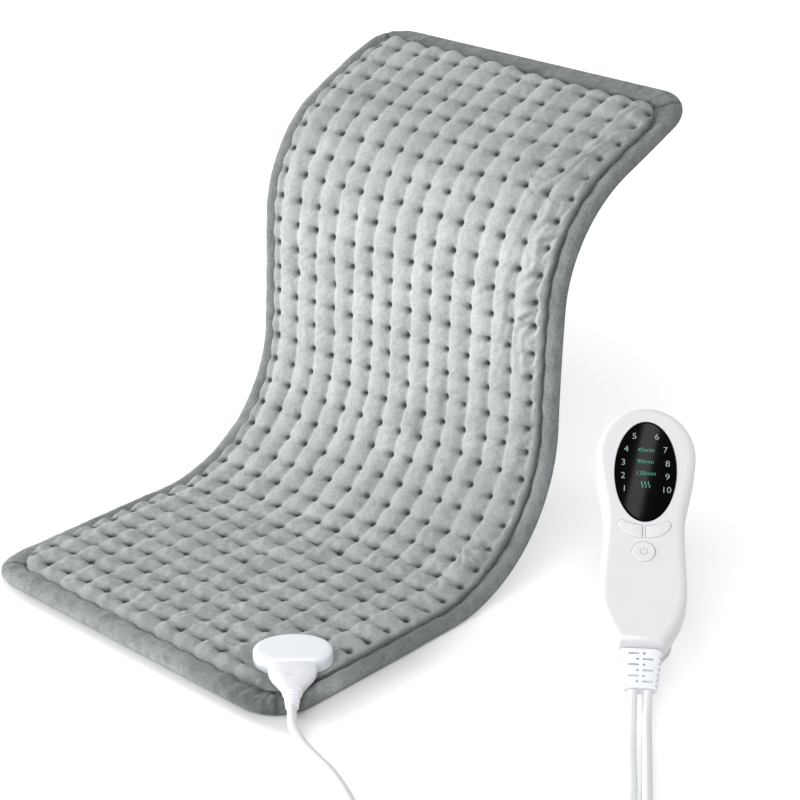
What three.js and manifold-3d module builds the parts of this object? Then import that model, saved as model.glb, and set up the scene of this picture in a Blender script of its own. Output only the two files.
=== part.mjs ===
// Heated pad with a hand controller: a quilted plush pad that stands in a soft S, an oval power socket
// with a pull-out plug on its front corner, and a two-lobed controller that leans on its bundled lead.
// Millimetres, +Z up. The origin is on the pad's underside, in the middle of the stretch that lies flat.
// +X runs across the pad to the socket's side, +Y along the pad towards the stretch that rises.
import * as THREE from 'three';
import { mergeVertices } from 'three/addons/utils/BufferGeometryUtils.js';
import Module from 'manifold-3d';

const wasm = await Module();
wasm.setup();

// Pad: overall cut, quilting grid and the line that it stands in
const PAD_WIDTH = 290;
const PAD_LENGTH = 600;
const PAD_CORNER = 30;
const COLUMNS = 14;
const ROWS = 31;
const SIDE_MARGIN = 20.2;
const END_MARGIN = 30;
const COLUMN_PITCH = (PAD_WIDTH - 2 * SIDE_MARGIN) / (COLUMNS - 1);
const ROW_PITCH = (PAD_LENGTH - 2 * END_MARGIN) / (ROWS - 1);
const FLAT_LENGTH = 162;
const LOWER_BEND = 104;
const RISE_ANGLE = THREE.MathUtils.degToRad(87.5);
const RISE_LENGTH = 83.5;
const UPPER_BEND = 101;
const TOP_ANGLE = THREE.MathUtils.degToRad(23.7);
const SIDE_DRAW_IN = 5;

// Pad: layers, measured up from the underside
const BACK_THICK = 2;
const CARRIER_THICK = 1.5;
const WIRE_DIA = 1.8;
const WIRE_ROOM = 0.4;
const COVER_THICK = 1.6;
const CROWN = 5;
const BINDING_WIDTH = 12;
const BINDING_CLOTH = 1.2;
const BINDING_WALL = 1.5;
const BACK_RIM = 0.5;
const COVER_RIM = 2;
const CLEAR = 0.3;

// Heating wire
const WIRE_RUN_ROWS = 2;
const WIRE_SIDE = PAD_WIDTH / 2 - 27;
const WIRE_RETURN_GAP = 12;
const WIRE_TAIL_GAP = 4;
const CUTOUT_THICK = 2;

// Socket and plug, on a line at 45 degrees to the front corner
const SOCKET_BACK_FROM_CORNER = 65.9;
const SOCKET_OFF_DIAGONAL = 10;
const SOCKET_HALF_WIDTH = 25.5;
const SOCKET_HALF_DEPTH = 18.5;
const SOCKET_FRONT = 15.5;
const SOCKET_HEIGHT = 10.5;
const SOCKET_WALL = 2;
const SOCKET_BASE_THICK = 1.8;
const SOCKET_FLOOR = 0.9;
const PIN_DIA = 2;
const PIN_PITCH = 6.5;
const PIN_HEIGHT = 5.2;
const PIN_REACH = 9;
const PIN_TAIL = 8.5;
const CONTACT_WALL = 0.5;
const CONTACT_LENGTH = 6;
const NOSE_HALF_WIDTH = 10.9;
const NOSE_HEIGHT = 5.6;
const NOSE_DEPTH = 11;
const PLUG_WIDTH = 31;
const PLUG_HEIGHT = 9.4;
const PLUG_LENGTH = 32;
const PLUG_NECK = 12.5;
const PLUG_RELIEF_LENGTH = 16;
const PLUG_RELIEF_DIA = 11;
const PLUG_RELIEF_TIP = 8;
const PLUG_TRAVEL = 14;
const SOCKET_SCREW_X = 18;

// Hand controller
const HANDSET_LENGTH = 175;
const UPPER_HALF = 32.3;
const UPPER_AT = 0.7903 * HANDSET_LENGTH;
const NECK_HALF = 25.7;
const NECK_AT = 0.4857 * HANDSET_LENGTH;
const LOWER_HALF = 27.7;
const LOWER_AT = 0.2051 * HANDSET_LENGTH;
const END_HALF = 13.5;
const FRONT_DEPTH = 12;
const REAR_DEPTH = 13;
const SHELL_WALL = 2;
const DISPLAY_HALF_WIDTH = 20;
const DISPLAY_HALF_LENGTH = 0.2171 * HANDSET_LENGTH;
const DISPLAY_AT = 0.7103 * HANDSET_LENGTH;
const WINDOW_THICK = 1.2;
const WINDOW_LEDGE = 2;
const BOARD_THICK = 1.6;
const BOARD_HEIGHT = 1.5;
const BOARD_INSET = 6;
const POWER_BUTTON_DIA = 14.6;
const POWER_BUTTON_AT = 0.368 * HANDSET_LENGTH;
const BUTTON_PROUD = 0.5;
const BUTTON_TRAVEL = 0.6;
const BUTTON_FLANGE = 0.8;
const WING_OUTER = 17;
const WING_SPLIT = 1.2;
const WING_TOP = 0.4983 * HANDSET_LENGTH;
const WING_LOW = 0.4257 * HANDSET_LENGTH;
const SWITCH_SIZE = 6;
const SWITCH_HEIGHT = 3.3;
const SWITCH_PLUNGER = 0.7;
const SCREW_SHANK = 2.4;
const SCREW_HEAD = 5;
const SCREW_HEAD_THICK = 1.6;
const RELIEF_LENGTH = 27;
const RELIEF_ROOT_WIDTH = 27;
const RELIEF_TIP_WIDTH = 20.7;
const RELIEF_THICK = 10.8;
const RELIEF_TIP_THICK = 9.2;
const RELIEF_ROWS = 6;
const RELIEF_ROW_PITCH = 3.8;

// Where the controller leans: the tip of its strain relief, its turn about Z and its tilt
const TIP = new THREE.Vector3(298.2, 80.4, 18);
const HANDSET_TURN = THREE.MathUtils.degToRad(37.46);
const HANDSET_TILT = THREE.MathUtils.degToRad(32);

// Cords
const CORD_DIA = 6;
const CORD_SPACING = 9;
const CORD_SIDES = 8;
const LOOP_SIDES = 6;
const LOOP_STEPS = 24;
const LAYER = 6.6;
const TIE_THICK = 0.8;
const TIE_WIDTH = 6;
const LEADS_PART = 98;
const COIL_CENTRE = new THREE.Vector2(-LEADS_PART - 55, -107);
const COIL_RADIUS = 35;
const COIL_START = THREE.MathUtils.degToRad(205);
const COIL_TURNS = 815 / 360;
const HANK_MIDDLE = 145.6;
const HANK_RUN = 112;
const HANK_FOLD = 18;
const HANK_WAIST = 6;
const HANK_LAYERS = 6;

// Mains plug
const MAINS_PLUG_LENGTH = 36;
const MAINS_PLUG_WIDTH = 24;
const MAINS_PLUG_THICK = 28;
const MAINS_PLUG_BACK = 141.8;
const MAINS_PLUG_SIDE = -5;
const MAINS_RELIEF_LENGTH = 18;
const MAINS_RELIEF_DIA = 12;
const BLADE_LENGTH = 15.9;
const BLADE_WIDTH = 6.4;
const BLADE_THICK = 1.5;
const BLADE_SPACING = 12.7;

const white = { color: 0xeff0f2, roughness: 0.35, metalness: 0 };
const plush = { color: 0xc9cecb, roughness: 0.95, metalness: 0 };
const tape = { color: 0x7d8381, roughness: 0.9, metalness: 0 };
const felt = { color: 0xdedad0, roughness: 0.95, metalness: 0 };
const black = { color: 0x07080a, roughness: 0.08, metalness: 0 };
const board = { color: 0x1f5a3a, roughness: 0.5, metalness: 0 };
const brass = { color: 0xc8a24a, roughness: 0.3, metalness: 1 };
const steel = { color: 0xb9bcc0, roughness: 0.35, metalness: 1 };
const dark = { color: 0x2a2c2e, roughness: 0.5, metalness: 0 };
const rubber = { color: 0xe8e9ea, roughness: 0.55, metalness: 0 };
const copper = { color: 0xd9d4cc, roughness: 0.5, metalness: 0 };

const pad = new THREE.Group();
const addMesh = (parent, name, geometry, look) => {
  const mesh = new THREE.Mesh(geometry, new THREE.MeshStandardMaterial(look));
  mesh.name = name;
  parent.add(mesh);
  return mesh;
};

// Solids: a geometry from points and triangles, and joins and cuts between closed geometries

function geometryOf(points, triangles) {
  const geometry = new THREE.BufferGeometry();
  const places = points.flatMap((p) => [p.x, p.y, p.z]);
  geometry.setAttribute('position', new THREE.Float32BufferAttribute(places, 3));
  let volume = 0;
  for (const [a, b, c] of triangles) {
    volume += points[a].dot(new THREE.Vector3().crossVectors(points[b], points[c]));
  }
  const outward = volume >= 0 ? triangles : triangles.map(([a, b, c]) => [a, c, b]);
  geometry.setIndex(outward.flat());
  return geometry;
}

function solidOf(geometry) {
  const bare = geometry.clone();
  bare.deleteAttribute('normal');
  bare.deleteAttribute('uv');
  const merged = mergeVertices(bare, 1e-4);
  return new wasm.Manifold(new wasm.Mesh({
    numProp: 3,
    vertProperties: new Float32Array(merged.attributes.position.array),
    triVerts: new Uint32Array(merged.index.array),
  }));
}

function geometryFrom(solid) {
  const mesh = solid.getMesh();
  const geometry = new THREE.BufferGeometry();
  geometry.setAttribute('position', new THREE.BufferAttribute(new Float32Array(mesh.vertProperties), 3));
  geometry.setIndex(new THREE.BufferAttribute(new Uint32Array(mesh.triVerts), 1));
  return geometry;
}

const joinAll = (...pieces) => geometryFrom(pieces.map(solidOf).reduce((whole, piece) => whole.add(piece)));
const cutAll = (body, ...tools) =>
  geometryFrom(tools.map(solidOf).reduce((whole, tool) => whole.subtract(tool), solidOf(body)));

const box = (x0, x1, y0, y1, z0, z1) =>
  new THREE.BoxGeometry(x1 - x0, y1 - y0, z1 - z0).translate((x0 + x1) / 2, (y0 + y1) / 2, (z0 + z1) / 2);

// A round bar along Z from z0 to z1, or along Y when laid down
const rod = (x, y, z0, z1, dia, sides = 16) =>
  new THREE.CylinderGeometry(dia / 2, dia / 2, z1 - z0, sides)
    .rotateX(Math.PI / 2)
    .translate(x, y, (z0 + z1) / 2);
const rodAlongY = (x, z, y0, y1, dia, sides = 16) =>
  new THREE.CylinderGeometry(dia / 2, dia / 2, y1 - y0, sides).translate(x, (y0 + y1) / 2, z);

// Closed loops of equal count joined into a skin, with flat ends triangulated in their own plane
function loft(loops, flatten = (p) => new THREE.Vector2(p.x, p.y)) {
  const count = loops[0].length;
  const triangles = [];
  for (let ring = 0; ring + 1 < loops.length; ring += 1) {
    for (let k = 0; k < count; k += 1) {
      const next = (k + 1) % count;
      const a = ring * count;
      const b = a + count;
      triangles.push([a + k, a + next, b + next], [a + k, b + next, b + k]);
    }
  }
  const first = THREE.ShapeUtils.triangulateShape(loops[0].map(flatten), []);
  const last = THREE.ShapeUtils.triangulateShape(loops.at(-1).map(flatten), []);
  const start = (loops.length - 1) * count;
  for (const [a, b, c] of first) {
    triangles.push([a, c, b]);
  }
  for (const [a, b, c] of last) {
    triangles.push([start + a, start + b, start + c]);
  }
  return geometryOf(loops.flat(), triangles);
}

// A round tube through a list of points, its section carried along without twist
function tube(points, dia, sides) {
  const rings = [];
  let across = null;
  points.forEach((point, k) => {
    const before = points[Math.max(k - 1, 0)];
    const after = points[Math.min(k + 1, points.length - 1)];
    const along = new THREE.Vector3().subVectors(after, before).normalize();
    if (across === null) {
      across = Math.abs(along.z) < 0.9 ? new THREE.Vector3(0, 0, 1) : new THREE.Vector3(1, 0, 0);
    }
    across = across.clone().addScaledVector(along, -across.dot(along)).normalize();
    const other = new THREE.Vector3().crossVectors(along, across);
    for (let side = 0; side < sides; side += 1) {
      const angle = ((side + 0.5) / sides) * 2 * Math.PI;
      rings.push(point.clone()
        .addScaledVector(across, (dia / 2) * Math.cos(angle))
        .addScaledVector(other, (dia / 2) * Math.sin(angle)));
    }
  });
  const triangles = [];
  for (let k = 0; k + 1 < points.length; k += 1) {
    for (let side = 0; side < sides; side += 1) {
      const next = (side + 1) % sides;
      const a = k * sides;
      const b = a + sides;
      triangles.push([a + side, a + next, b + next], [a + side, b + next, b + side]);
    }
  }
  const last = (points.length - 1) * sides;
  for (let side = 1; side + 1 < sides; side += 1) {
    triangles.push([0, side + 1, side], [last, last + side, last + side + 1]);
  }
  return geometryOf(rings, triangles);
}

// A free cord: a smooth curve through hand-chosen points, swept by an eight-sided section
function sweptCord(points, steps) {
  const section = new THREE.Shape();
  for (let side = 0; side < CORD_SIDES; side += 1) {
    const angle = ((side + 0.5) / CORD_SIDES) * 2 * Math.PI;
    const x = (CORD_DIA / 2) * Math.cos(angle);
    const y = (CORD_DIA / 2) * Math.sin(angle);
    if (side === 0) {
      section.moveTo(x, y);
    } else {
      section.lineTo(x, y);
    }
  }
  const extrudePath = new THREE.CatmullRomCurve3(points, false, 'centripetal');
  return mergeVertices(bareOf(new THREE.ExtrudeGeometry(section, { steps, extrudePath })), 1e-4);
}

function bareOf(geometry) {
  geometry.deleteAttribute('normal');
  geometry.deleteAttribute('uv');
  return geometry;
}

// The sheet: stations along the pad's length hold a place and a normal, and all layers follow them

const STITCH_HEIGHT = BACK_THICK + CARRIER_THICK + WIRE_DIA + 2 * WIRE_ROOM + CLEAR + COVER_THICK;
const FIRST_COLUMN = ((COLUMNS - 1) * COLUMN_PITCH) / 2;

function lineAt(s) {
  const bend1 = LOWER_BEND * RISE_ANGLE;
  const bend2 = UPPER_BEND * (RISE_ANGLE - TOP_ANGLE);
  const place = { y: -FLAT_LENGTH / 2, z: STITCH_HEIGHT, angle: 0 };
  const go = (length) => {
    place.y += length * Math.cos(place.angle);
    place.z += length * Math.sin(place.angle);
  };
  const turn = (length, radius, way) => {
    const from = place.angle;
    place.angle += (way * length) / radius;
    place.y += way * radius * (Math.sin(place.angle) - Math.sin(from));
    place.z += way * radius * (Math.cos(from) - Math.cos(place.angle));
  };
  let left = s;
  const take = (most) => {
    const used = Math.min(left, most);
    left -= used;
    return used;
  };
  go(take(FLAT_LENGTH));
  turn(take(bend1), LOWER_BEND, 1);
  go(take(RISE_LENGTH));
  turn(take(bend2), UPPER_BEND, -1);
  go(left);
  return place;
}

const SIDE_STATIONS = Array.from({ length: ROWS - 1 }, (_, k) => END_MARGIN + (k + 0.5) * ROW_PITCH);
const STATIONS = [0, ...SIDE_STATIONS, PAD_LENGTH];
const stationLines = STATIONS.map(lineAt);

// The sides pull in a little where the pad stands up
function sideShare(s) {
  const from = FLAT_LENGTH;
  const to = PAD_LENGTH - END_MARGIN;
  const share = THREE.MathUtils.clamp((s - from) / (to - from), 0, 1);
  return 1 - (SIDE_DRAW_IN / (PAD_WIDTH / 2)) * Math.sin(Math.PI * share) ** 2;
}

// A point at w across, s along and h above the underside
function onSheet(w, s, h) {
  let k = 0;
  while (k + 2 < STATIONS.length && s > STATIONS[k + 1]) {
    k += 1;
  }
  const share = (s - STATIONS[k]) / (STATIONS[k + 1] - STATIONS[k]);
  const at = (line, station) => new THREE.Vector3(
    w * sideShare(station),
    line.y - Math.sin(line.angle) * (h - STITCH_HEIGHT),
    line.z + Math.cos(line.angle) * (h - STITCH_HEIGHT),
  );
  return at(stationLines[k], STATIONS[k]).lerp(at(stationLines[k + 1], STATIONS[k + 1]), share);
}

// A rounded rectangle set in from the pad's edges, front middle to right to back to left
const ARC_STEPS = 2;
function outline(sideInset, endInset, h) {
  const half = PAD_WIDTH / 2 - sideInset;
  const radius = Math.max(PAD_CORNER - Math.max(sideInset, endInset), 3);
  const right = [];
  for (let k = 0; k <= ARC_STEPS; k += 1) {
    const angle = (k / ARC_STEPS) * (Math.PI / 2);
    right.push([half - radius + radius * Math.sin(angle), endInset + radius - radius * Math.cos(angle)]);
  }
  for (const s of SIDE_STATIONS) {
    if (s > endInset + radius && s < PAD_LENGTH - endInset - radius) {
      right.push([half, s]);
    }
  }
  for (let k = ARC_STEPS; k >= 0; k -= 1) {
    const angle = (k / ARC_STEPS) * (Math.PI / 2);
    const back = PAD_LENGTH - endInset - radius;
    right.push([half - radius + radius * Math.sin(angle), back + radius * Math.cos(angle)]);
  }
  const left = right.map(([w, s]) => [-w, s]).reverse();
  return [...right, ...left].map(([w, s]) => onSheet(w, s, h));
}

// Triangles between two closed loops of any counts, by the shorter diagonal
function zip(points, a, b, triangles) {
  let i = 0;
  let j = 0;
  while (i < a.length || j < b.length) {
    const a0 = a[i % a.length];
    const b0 = b[j % b.length];
    const a1 = a[(i + 1) % a.length];
    const b1 = b[(j + 1) % b.length];
    const alongA = i < a.length ? points[a1].distanceTo(points[b0]) : Infinity;
    const alongB = j < b.length ? points[a0].distanceTo(points[b1]) : Infinity;
    if (alongA <= alongB) {
      triangles.push([a0, a1, b0]);
      i += 1;
    } else {
      triangles.push([a0, b1, b0]);
      j += 1;
    }
  }
}

// A stack of loops skinned one to the next, the first and last closed by strips from side to side
function layerSolid(loops, closeTop = true) {
  const points = [];
  const index = loops.map((loop) => loop.map((point) => points.push(point) - 1));
  const triangles = [];
  for (let k = 0; k + 1 < index.length; k += 1) {
    zip(points, index[k], index[k + 1], triangles);
  }
  const strips = (loop, up) => {
    for (let k = 0; k + 1 < loop.length / 2; k += 1) {
      const [r0, r1, l1, l0] = [loop[k], loop[k + 1], loop[loop.length - 2 - k], loop[loop.length - 1 - k]];
      triangles.push(...(up ? [[r0, r1, l1], [r0, l1, l0]] : [[r0, l1, r1], [r0, l0, l1]]));
    }
  };
  strips(index[0], false);
  if (closeTop) {
    strips(index.at(-1), true);
  }
  return { points, triangles, last: index.at(-1) };
}

// Back cover: plush cloth, thinned at the rim where the binding folds over it
const backTop = BACK_THICK;
const rimInset = BINDING_WALL + CLEAR;
const backRimBottom = BACK_THICK - BACK_RIM;
const backCover = layerSolid([
  outline(BINDING_WIDTH + 2 * CLEAR, BINDING_WIDTH + 2 * CLEAR, 0),
  outline(BINDING_WIDTH + 2 * CLEAR, BINDING_WIDTH + 2 * CLEAR, backRimBottom),
  outline(rimInset, rimInset, backRimBottom),
  outline(rimInset, rimInset, backTop),
]);
addMesh(pad, 'back_cover', geometryOf(backCover.points, backCover.triangles), plush);

// Felt carrier that the heating wire is sewn to
const carrierBottom = backTop + CLEAR;
const carrierTop = carrierBottom + CARRIER_THICK - CLEAR;
const coreSide = PAD_WIDTH / 2 - FIRST_COLUMN;
const carrier = layerSolid([
  outline(coreSide + 1, END_MARGIN + 1, carrierBottom),
  outline(coreSide + 1, END_MARGIN + 1, carrierTop),
]);
addMesh(pad, 'wire_carrier', geometryOf(carrier.points, carrier.triangles), felt);

// Socket frame: its middle lies back from the corner along the diagonal
const diagonal = new THREE.Vector2(1, -1).normalize();
const besideDiagonal = new THREE.Vector2(1, 1).normalize();
const socketMiddle = new THREE.Vector2(PAD_WIDTH / 2, -FLAT_LENGTH / 2)
  .addScaledVector(diagonal, -SOCKET_BACK_FROM_CORNER)
  .addScaledVector(besideDiagonal, SOCKET_OFF_DIAGONAL);
const coverBottom = STITCH_HEIGHT - COVER_THICK;
const seatHeight = coverBottom + SOCKET_FLOOR;
const socketGroup = new THREE.Group();
socketGroup.position.set(socketMiddle.x, socketMiddle.y, seatHeight + CLEAR);
socketGroup.rotation.z = Math.PI / 4;
socketGroup.updateMatrixWorld(true);
const inSocket = (x, y, z) => new THREE.Vector3(x, y, z).applyMatrix4(socketGroup.matrixWorld);

const SOCKET_POINTS = 24;
// An ellipse cut straight across its front, set in by d
function socketLoop(d, z) {
  const front = -(SOCKET_FRONT - d);
  const a = SOCKET_HALF_WIDTH - d;
  const b = SOCKET_HALF_DEPTH - d;
  const start = Math.asin(front / b);
  const span = Math.PI - 2 * start;
  return Array.from({ length: SOCKET_POINTS }, (_, k) => {
    const angle = start + (k / (SOCKET_POINTS - 1)) * span;
    return new THREE.Vector3(a * Math.cos(angle), b * Math.sin(angle), z);
  });
}

// Front cover: plush with a sewn tuft at every grid point, a crown between and a thin rim in the binding
const seamTop = BACK_THICK + CLEAR + COVER_RIM;
const seamBottom = BACK_THICK + CLEAR;
const seamInset = BINDING_WIDTH + CLEAR + 0.1;
const cover = layerSolid([
  outline(coreSide, END_MARGIN, coverBottom),
  outline(seamInset, seamInset, seamBottom),
  outline(rimInset, rimInset, seamBottom),
  outline(rimInset, rimInset, seamTop),
  outline(seamInset, seamInset, seamTop),
], false);
const stitchAt = (i, j) =>
  onSheet(i * COLUMN_PITCH - FIRST_COLUMN, END_MARGIN + j * ROW_PITCH, STITCH_HEIGHT);
const stitches = Array.from({ length: COLUMNS }, (_, i) =>
  Array.from({ length: ROWS }, (__, j) => cover.points.push(stitchAt(i, j)) - 1));
const lastColumn = COLUMNS - 1;
const lastRow = ROWS - 1;
const halfWay = Math.floor(COLUMNS / 2);
const stitchLoop = [];
for (let i = halfWay; i < lastColumn; i += 1) {
  stitchLoop.push(stitches[i][0]);
}
for (let j = 0; j < lastRow; j += 1) {
  stitchLoop.push(stitches[lastColumn][j]);
}
for (let i = lastColumn; i > 0; i -= 1) {
  stitchLoop.push(stitches[i][lastRow]);
}
for (let j = lastRow; j > 0; j -= 1) {
  stitchLoop.push(stitches[0][j]);
}
for (let i = 0; i < halfWay; i += 1) {
  stitchLoop.push(stitches[i][0]);
}
zip(cover.points, cover.last, stitchLoop, cover.triangles);
for (let i = 0; i < lastColumn; i += 1) {
  for (let j = 0; j < lastRow; j += 1) {
    const w = (i + 0.5) * COLUMN_PITCH - FIRST_COLUMN;
    const s = END_MARGIN + (j + 0.5) * ROW_PITCH;
    const crown = cover.points.push(onSheet(w, s, STITCH_HEIGHT + CROWN)) - 1;
    const corners = [stitches[i][j], stitches[i + 1][j], stitches[i + 1][j + 1], stitches[i][j + 1]];
    corners.forEach((corner, k) => cover.triangles.push([corner, corners[(k + 1) % 4], crown]));
  }
}
// The cover is pressed down under the socket and the plug, with a slot for the wire tails
const plugBack = -SOCKET_FRONT - CLEAR;
const plugFront = plugBack - PLUG_LENGTH;
const wireSlot = { x: WIRE_TAIL_GAP / 2 + 2 * WIRE_DIA, y0: 9, y1: 13 };
const seatDepth = CROWN + STITCH_HEIGHT;
const socketSeat = loft([socketLoop(-2 * CLEAR, -CLEAR), socketLoop(-2 * CLEAR, seatDepth)]);
const plugSeatHalf = PLUG_WIDTH / 2 + 1;
const plugSeatEnd = plugFront - PLUG_RELIEF_LENGTH - PLUG_TRAVEL - PAD_CORNER;
const plugSeat = box(-plugSeatHalf, plugSeatHalf, plugSeatEnd, plugBack + 4, -CLEAR, seatDepth);
const tailSlot = box(-wireSlot.x, wireSlot.x, wireSlot.y0, wireSlot.y1, -seatHeight, seatDepth);
const coverPlain = geometryOf(cover.points, cover.triangles);
const seatTools = [socketSeat, plugSeat, tailSlot]
  .map((tool) => tool.applyMatrix4(socketGroup.matrixWorld));
addMesh(pad, 'front_cover', cutAll(coverPlain, ...seatTools), plush);

// Binding: a folded tape round the whole edge, open inwards over both covers
const bindingTop = seamTop + CLEAR + BINDING_CLOTH;
const rounding = 1.5;
const bindingSection = [
  [BINDING_WIDTH, 0],
  [rounding, 0],
  [0, rounding],
  [0, bindingTop - rounding],
  [rounding, bindingTop],
  [BINDING_WIDTH, bindingTop],
  [BINDING_WIDTH, bindingTop - BINDING_CLOTH],
  [BINDING_WALL, bindingTop - BINDING_CLOTH],
  [BINDING_WALL, BINDING_CLOTH],
  [BINDING_WIDTH, BINDING_CLOTH],
];
const bindingPoints = [];
const bindingLoops = bindingSection.map(([inset, h]) =>
  outline(inset, inset, h).map((point) => bindingPoints.push(point) - 1));
const bindingTriangles = [];
bindingLoops.forEach((loop, k) => {
  zip(bindingPoints, loop, bindingLoops[(k + 1) % bindingLoops.length], bindingTriangles);
});
addMesh(pad, 'binding', geometryOf(bindingPoints, bindingTriangles), tape);

// Heating wire: runs across the pad, a return along one side and two tails that rise into the socket
const wireHeight = carrierTop + WIRE_ROOM + WIRE_DIA / 2;
const wireTurn = (WIRE_RUN_ROWS * ROW_PITCH) / 2;
const wireRuns = Math.floor((ROWS - 2) / WIRE_RUN_ROWS);
const firstRun = SIDE_STATIONS[3];
const wireLeft = -WIRE_SIDE + wireTurn;
const wireRight = WIRE_SIDE - WIRE_RETURN_GAP - wireTurn;
const tailTop = PIN_HEIGHT - PIN_DIA;
const wirePath = [];
const tailPoint = (x, z) => inSocket(x, (wireSlot.y0 + wireSlot.y1) / 2, z);
const flat = (w, y) => new THREE.Vector3(w, y, wireHeight);
const tailA = tailPoint(-WIRE_TAIL_GAP / 2 - WIRE_DIA / 2, 0);
const tailB = tailPoint(WIRE_TAIL_GAP / 2 + WIRE_DIA / 2, 0);
const socketLevel = seatHeight + CLEAR;
wirePath.push(new THREE.Vector3(tailA.x, tailA.y, socketLevel + tailTop));
wirePath.push(new THREE.Vector3(tailA.x, tailA.y, wireHeight + 2));
wirePath.push(new THREE.Vector3(tailA.x - 1, tailA.y + 1, wireHeight + 0.5));
wirePath.push(flat(tailA.x - 3, tailA.y + 3));
const runCount = Math.min(wireRuns, Math.floor((SIDE_STATIONS.at(-3) - firstRun) / (2 * wireTurn)) + 1);
const TURN_STEPS = 4;
for (let run = 0; run < runCount; run += 1) {
  const s = firstRun + run * 2 * wireTurn;
  const way = run % 2 === 0 ? -1 : 1;
  const [from, to] = way < 0 ? [wireRight, wireLeft] : [wireLeft, wireRight];
  wirePath.push(onSheet(from, s, wireHeight), onSheet(to, s, wireHeight));
  if (run + 1 < runCount) {
    for (let k = 1; k < TURN_STEPS; k += 1) {
      const angle = (k / TURN_STEPS) * Math.PI;
      const w = to + way * wireTurn * Math.sin(angle);
      wirePath.push(onSheet(w, s + wireTurn * (1 - Math.cos(angle)), wireHeight));
    }
  }
}
const lastRun = firstRun + (runCount - 1) * 2 * wireTurn;
const returnFrom = SIDE_STATIONS.findIndex((s) => s > lastRun - 1);
if (runCount % 2 === 1) {
  const turnBack = [[wireLeft - 6, 4], [wireLeft, 12], [WIRE_SIDE - 10, 12], [WIRE_SIDE - 3, 9]];
  wirePath.push(...turnBack.map(([w, on]) => onSheet(w, lastRun + on, wireHeight)));
} else {
  wirePath.push(onSheet(WIRE_SIDE - 6, lastRun, wireHeight));
}
for (let k = returnFrom; k >= 2; k -= 1) {
  wirePath.push(onSheet(WIRE_SIDE, SIDE_STATIONS[k], wireHeight));
}
wirePath.push(flat(tailB.x + 3, tailB.y + 3));
wirePath.push(new THREE.Vector3(tailB.x + 1, tailB.y + 1, wireHeight + 0.5));
wirePath.push(new THREE.Vector3(tailB.x, tailB.y, wireHeight + 2));
wirePath.push(new THREE.Vector3(tailB.x, tailB.y, socketLevel + tailTop));
addMesh(pad, 'heating_wire', tube(wirePath, WIRE_DIA, LOOP_SIDES), copper);

// Thermal cut-out: a flat sealed switch on the carrier between two wire runs
const cutoutBottom = carrierTop + CLEAR;
const cutoutAt = firstRun + wireTurn - FLAT_LENGTH / 2;
const cutoutTop = cutoutBottom + CUTOUT_THICK;
addMesh(pad, 'thermal_cutout', box(-10, 10, cutoutAt - 4, cutoutAt + 4, cutoutBottom, cutoutTop), dark);

// Socket housing: an oval cap with rolled edges, a mouth for the plug's nose and two screw bosses
pad.add(socketGroup);
const noseLow = PIN_HEIGHT - NOSE_HEIGHT / 2;
const noseHigh = PIN_HEIGHT + NOSE_HEIGHT / 2;
const housingTop = SOCKET_HEIGHT - SOCKET_WALL;
const housingCap = loft([
  socketLoop(0, 0),
  socketLoop(0, SOCKET_HEIGHT - 3.2),
  socketLoop(0.9, SOCKET_HEIGHT - 1.3),
  socketLoop(3, SOCKET_HEIGHT),
]);
const housingRoom = loft([socketLoop(SOCKET_WALL, -1), socketLoop(SOCKET_WALL, housingTop)]);
const mouth = box(
  -NOSE_HALF_WIDTH - CLEAR, NOSE_HALF_WIDTH + CLEAR, -SOCKET_FRONT - 2, -SOCKET_FRONT + SOCKET_WALL + 2,
  noseLow - CLEAR, noseHigh + CLEAR,
);
const bossBottom = SOCKET_BASE_THICK + CLEAR;
const bossAt = [-SOCKET_SCREW_X, SOCKET_SCREW_X];
const SOCKET_SHANK = 2;
const SOCKET_HEAD = 4.4;
const shankHole = SOCKET_SHANK + 2 * CLEAR;
const hollowCap = cutAll(housingCap, housingRoom, mouth);
const bosses = bossAt.map((x) => rod(x, 2, bossBottom, housingTop + 0.5, shankHole + 3));
const bossHoles = bossAt.map((x) => rod(x, 2, bossBottom - 1, housingTop - 0.8, shankHole));
addMesh(socketGroup, 'socket_housing', cutAll(joinAll(hollowCap, ...bosses), ...bossHoles), white);

// Socket base: a plate with a pin block, a slot for the wire tails and sunk screw holes
const basePlate = loft([
  socketLoop(SOCKET_WALL + CLEAR, 0),
  socketLoop(SOCKET_WALL + CLEAR, SOCKET_BASE_THICK),
]);
const blockHalf = PIN_PITCH + PIN_DIA + 1;
const pinBlock = box(-blockHalf, blockHalf, 1, 7, SOCKET_BASE_THICK / 2, noseHigh);
const pinAt = [-PIN_PITCH, 0, PIN_PITCH];
const pinHoles = pinAt.map((x) => rodAlongY(x, PIN_HEIGHT, 0, 8, PIN_DIA + 2 * CLEAR));
const baseSlot = box(-wireSlot.x, wireSlot.x, wireSlot.y0, wireSlot.y1, -1, SOCKET_BASE_THICK + 1);
const baseScrewHoles = bossAt.map((x) =>
  joinAll(rod(x, 2, -1, SOCKET_BASE_THICK + 1, shankHole), rod(x, 2, -1, 1.2, SOCKET_HEAD + 2 * CLEAR)));
const baseTools = [...pinHoles, baseSlot, ...baseScrewHoles];
addMesh(socketGroup, 'socket_base', cutAll(joinAll(basePlate, pinBlock), ...baseTools), dark);
pinAt.forEach((x, k) => {
  const pin = rodAlongY(x, PIN_HEIGHT, -PIN_REACH, PIN_TAIL, PIN_DIA, 12);
  addMesh(socketGroup, `socket_pin_${k + 1}`, pin, brass);
});
bossAt.forEach((x, k) => {
  const head = rod(x, 2, 0.1, 0.9, SOCKET_HEAD);
  const shank = rod(x, 2, 0.5, housingTop - 1.2, SOCKET_SHANK);
  addMesh(socketGroup, `socket_screw_${k + 1}`, joinAll(head, shank), steel);
});

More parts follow.
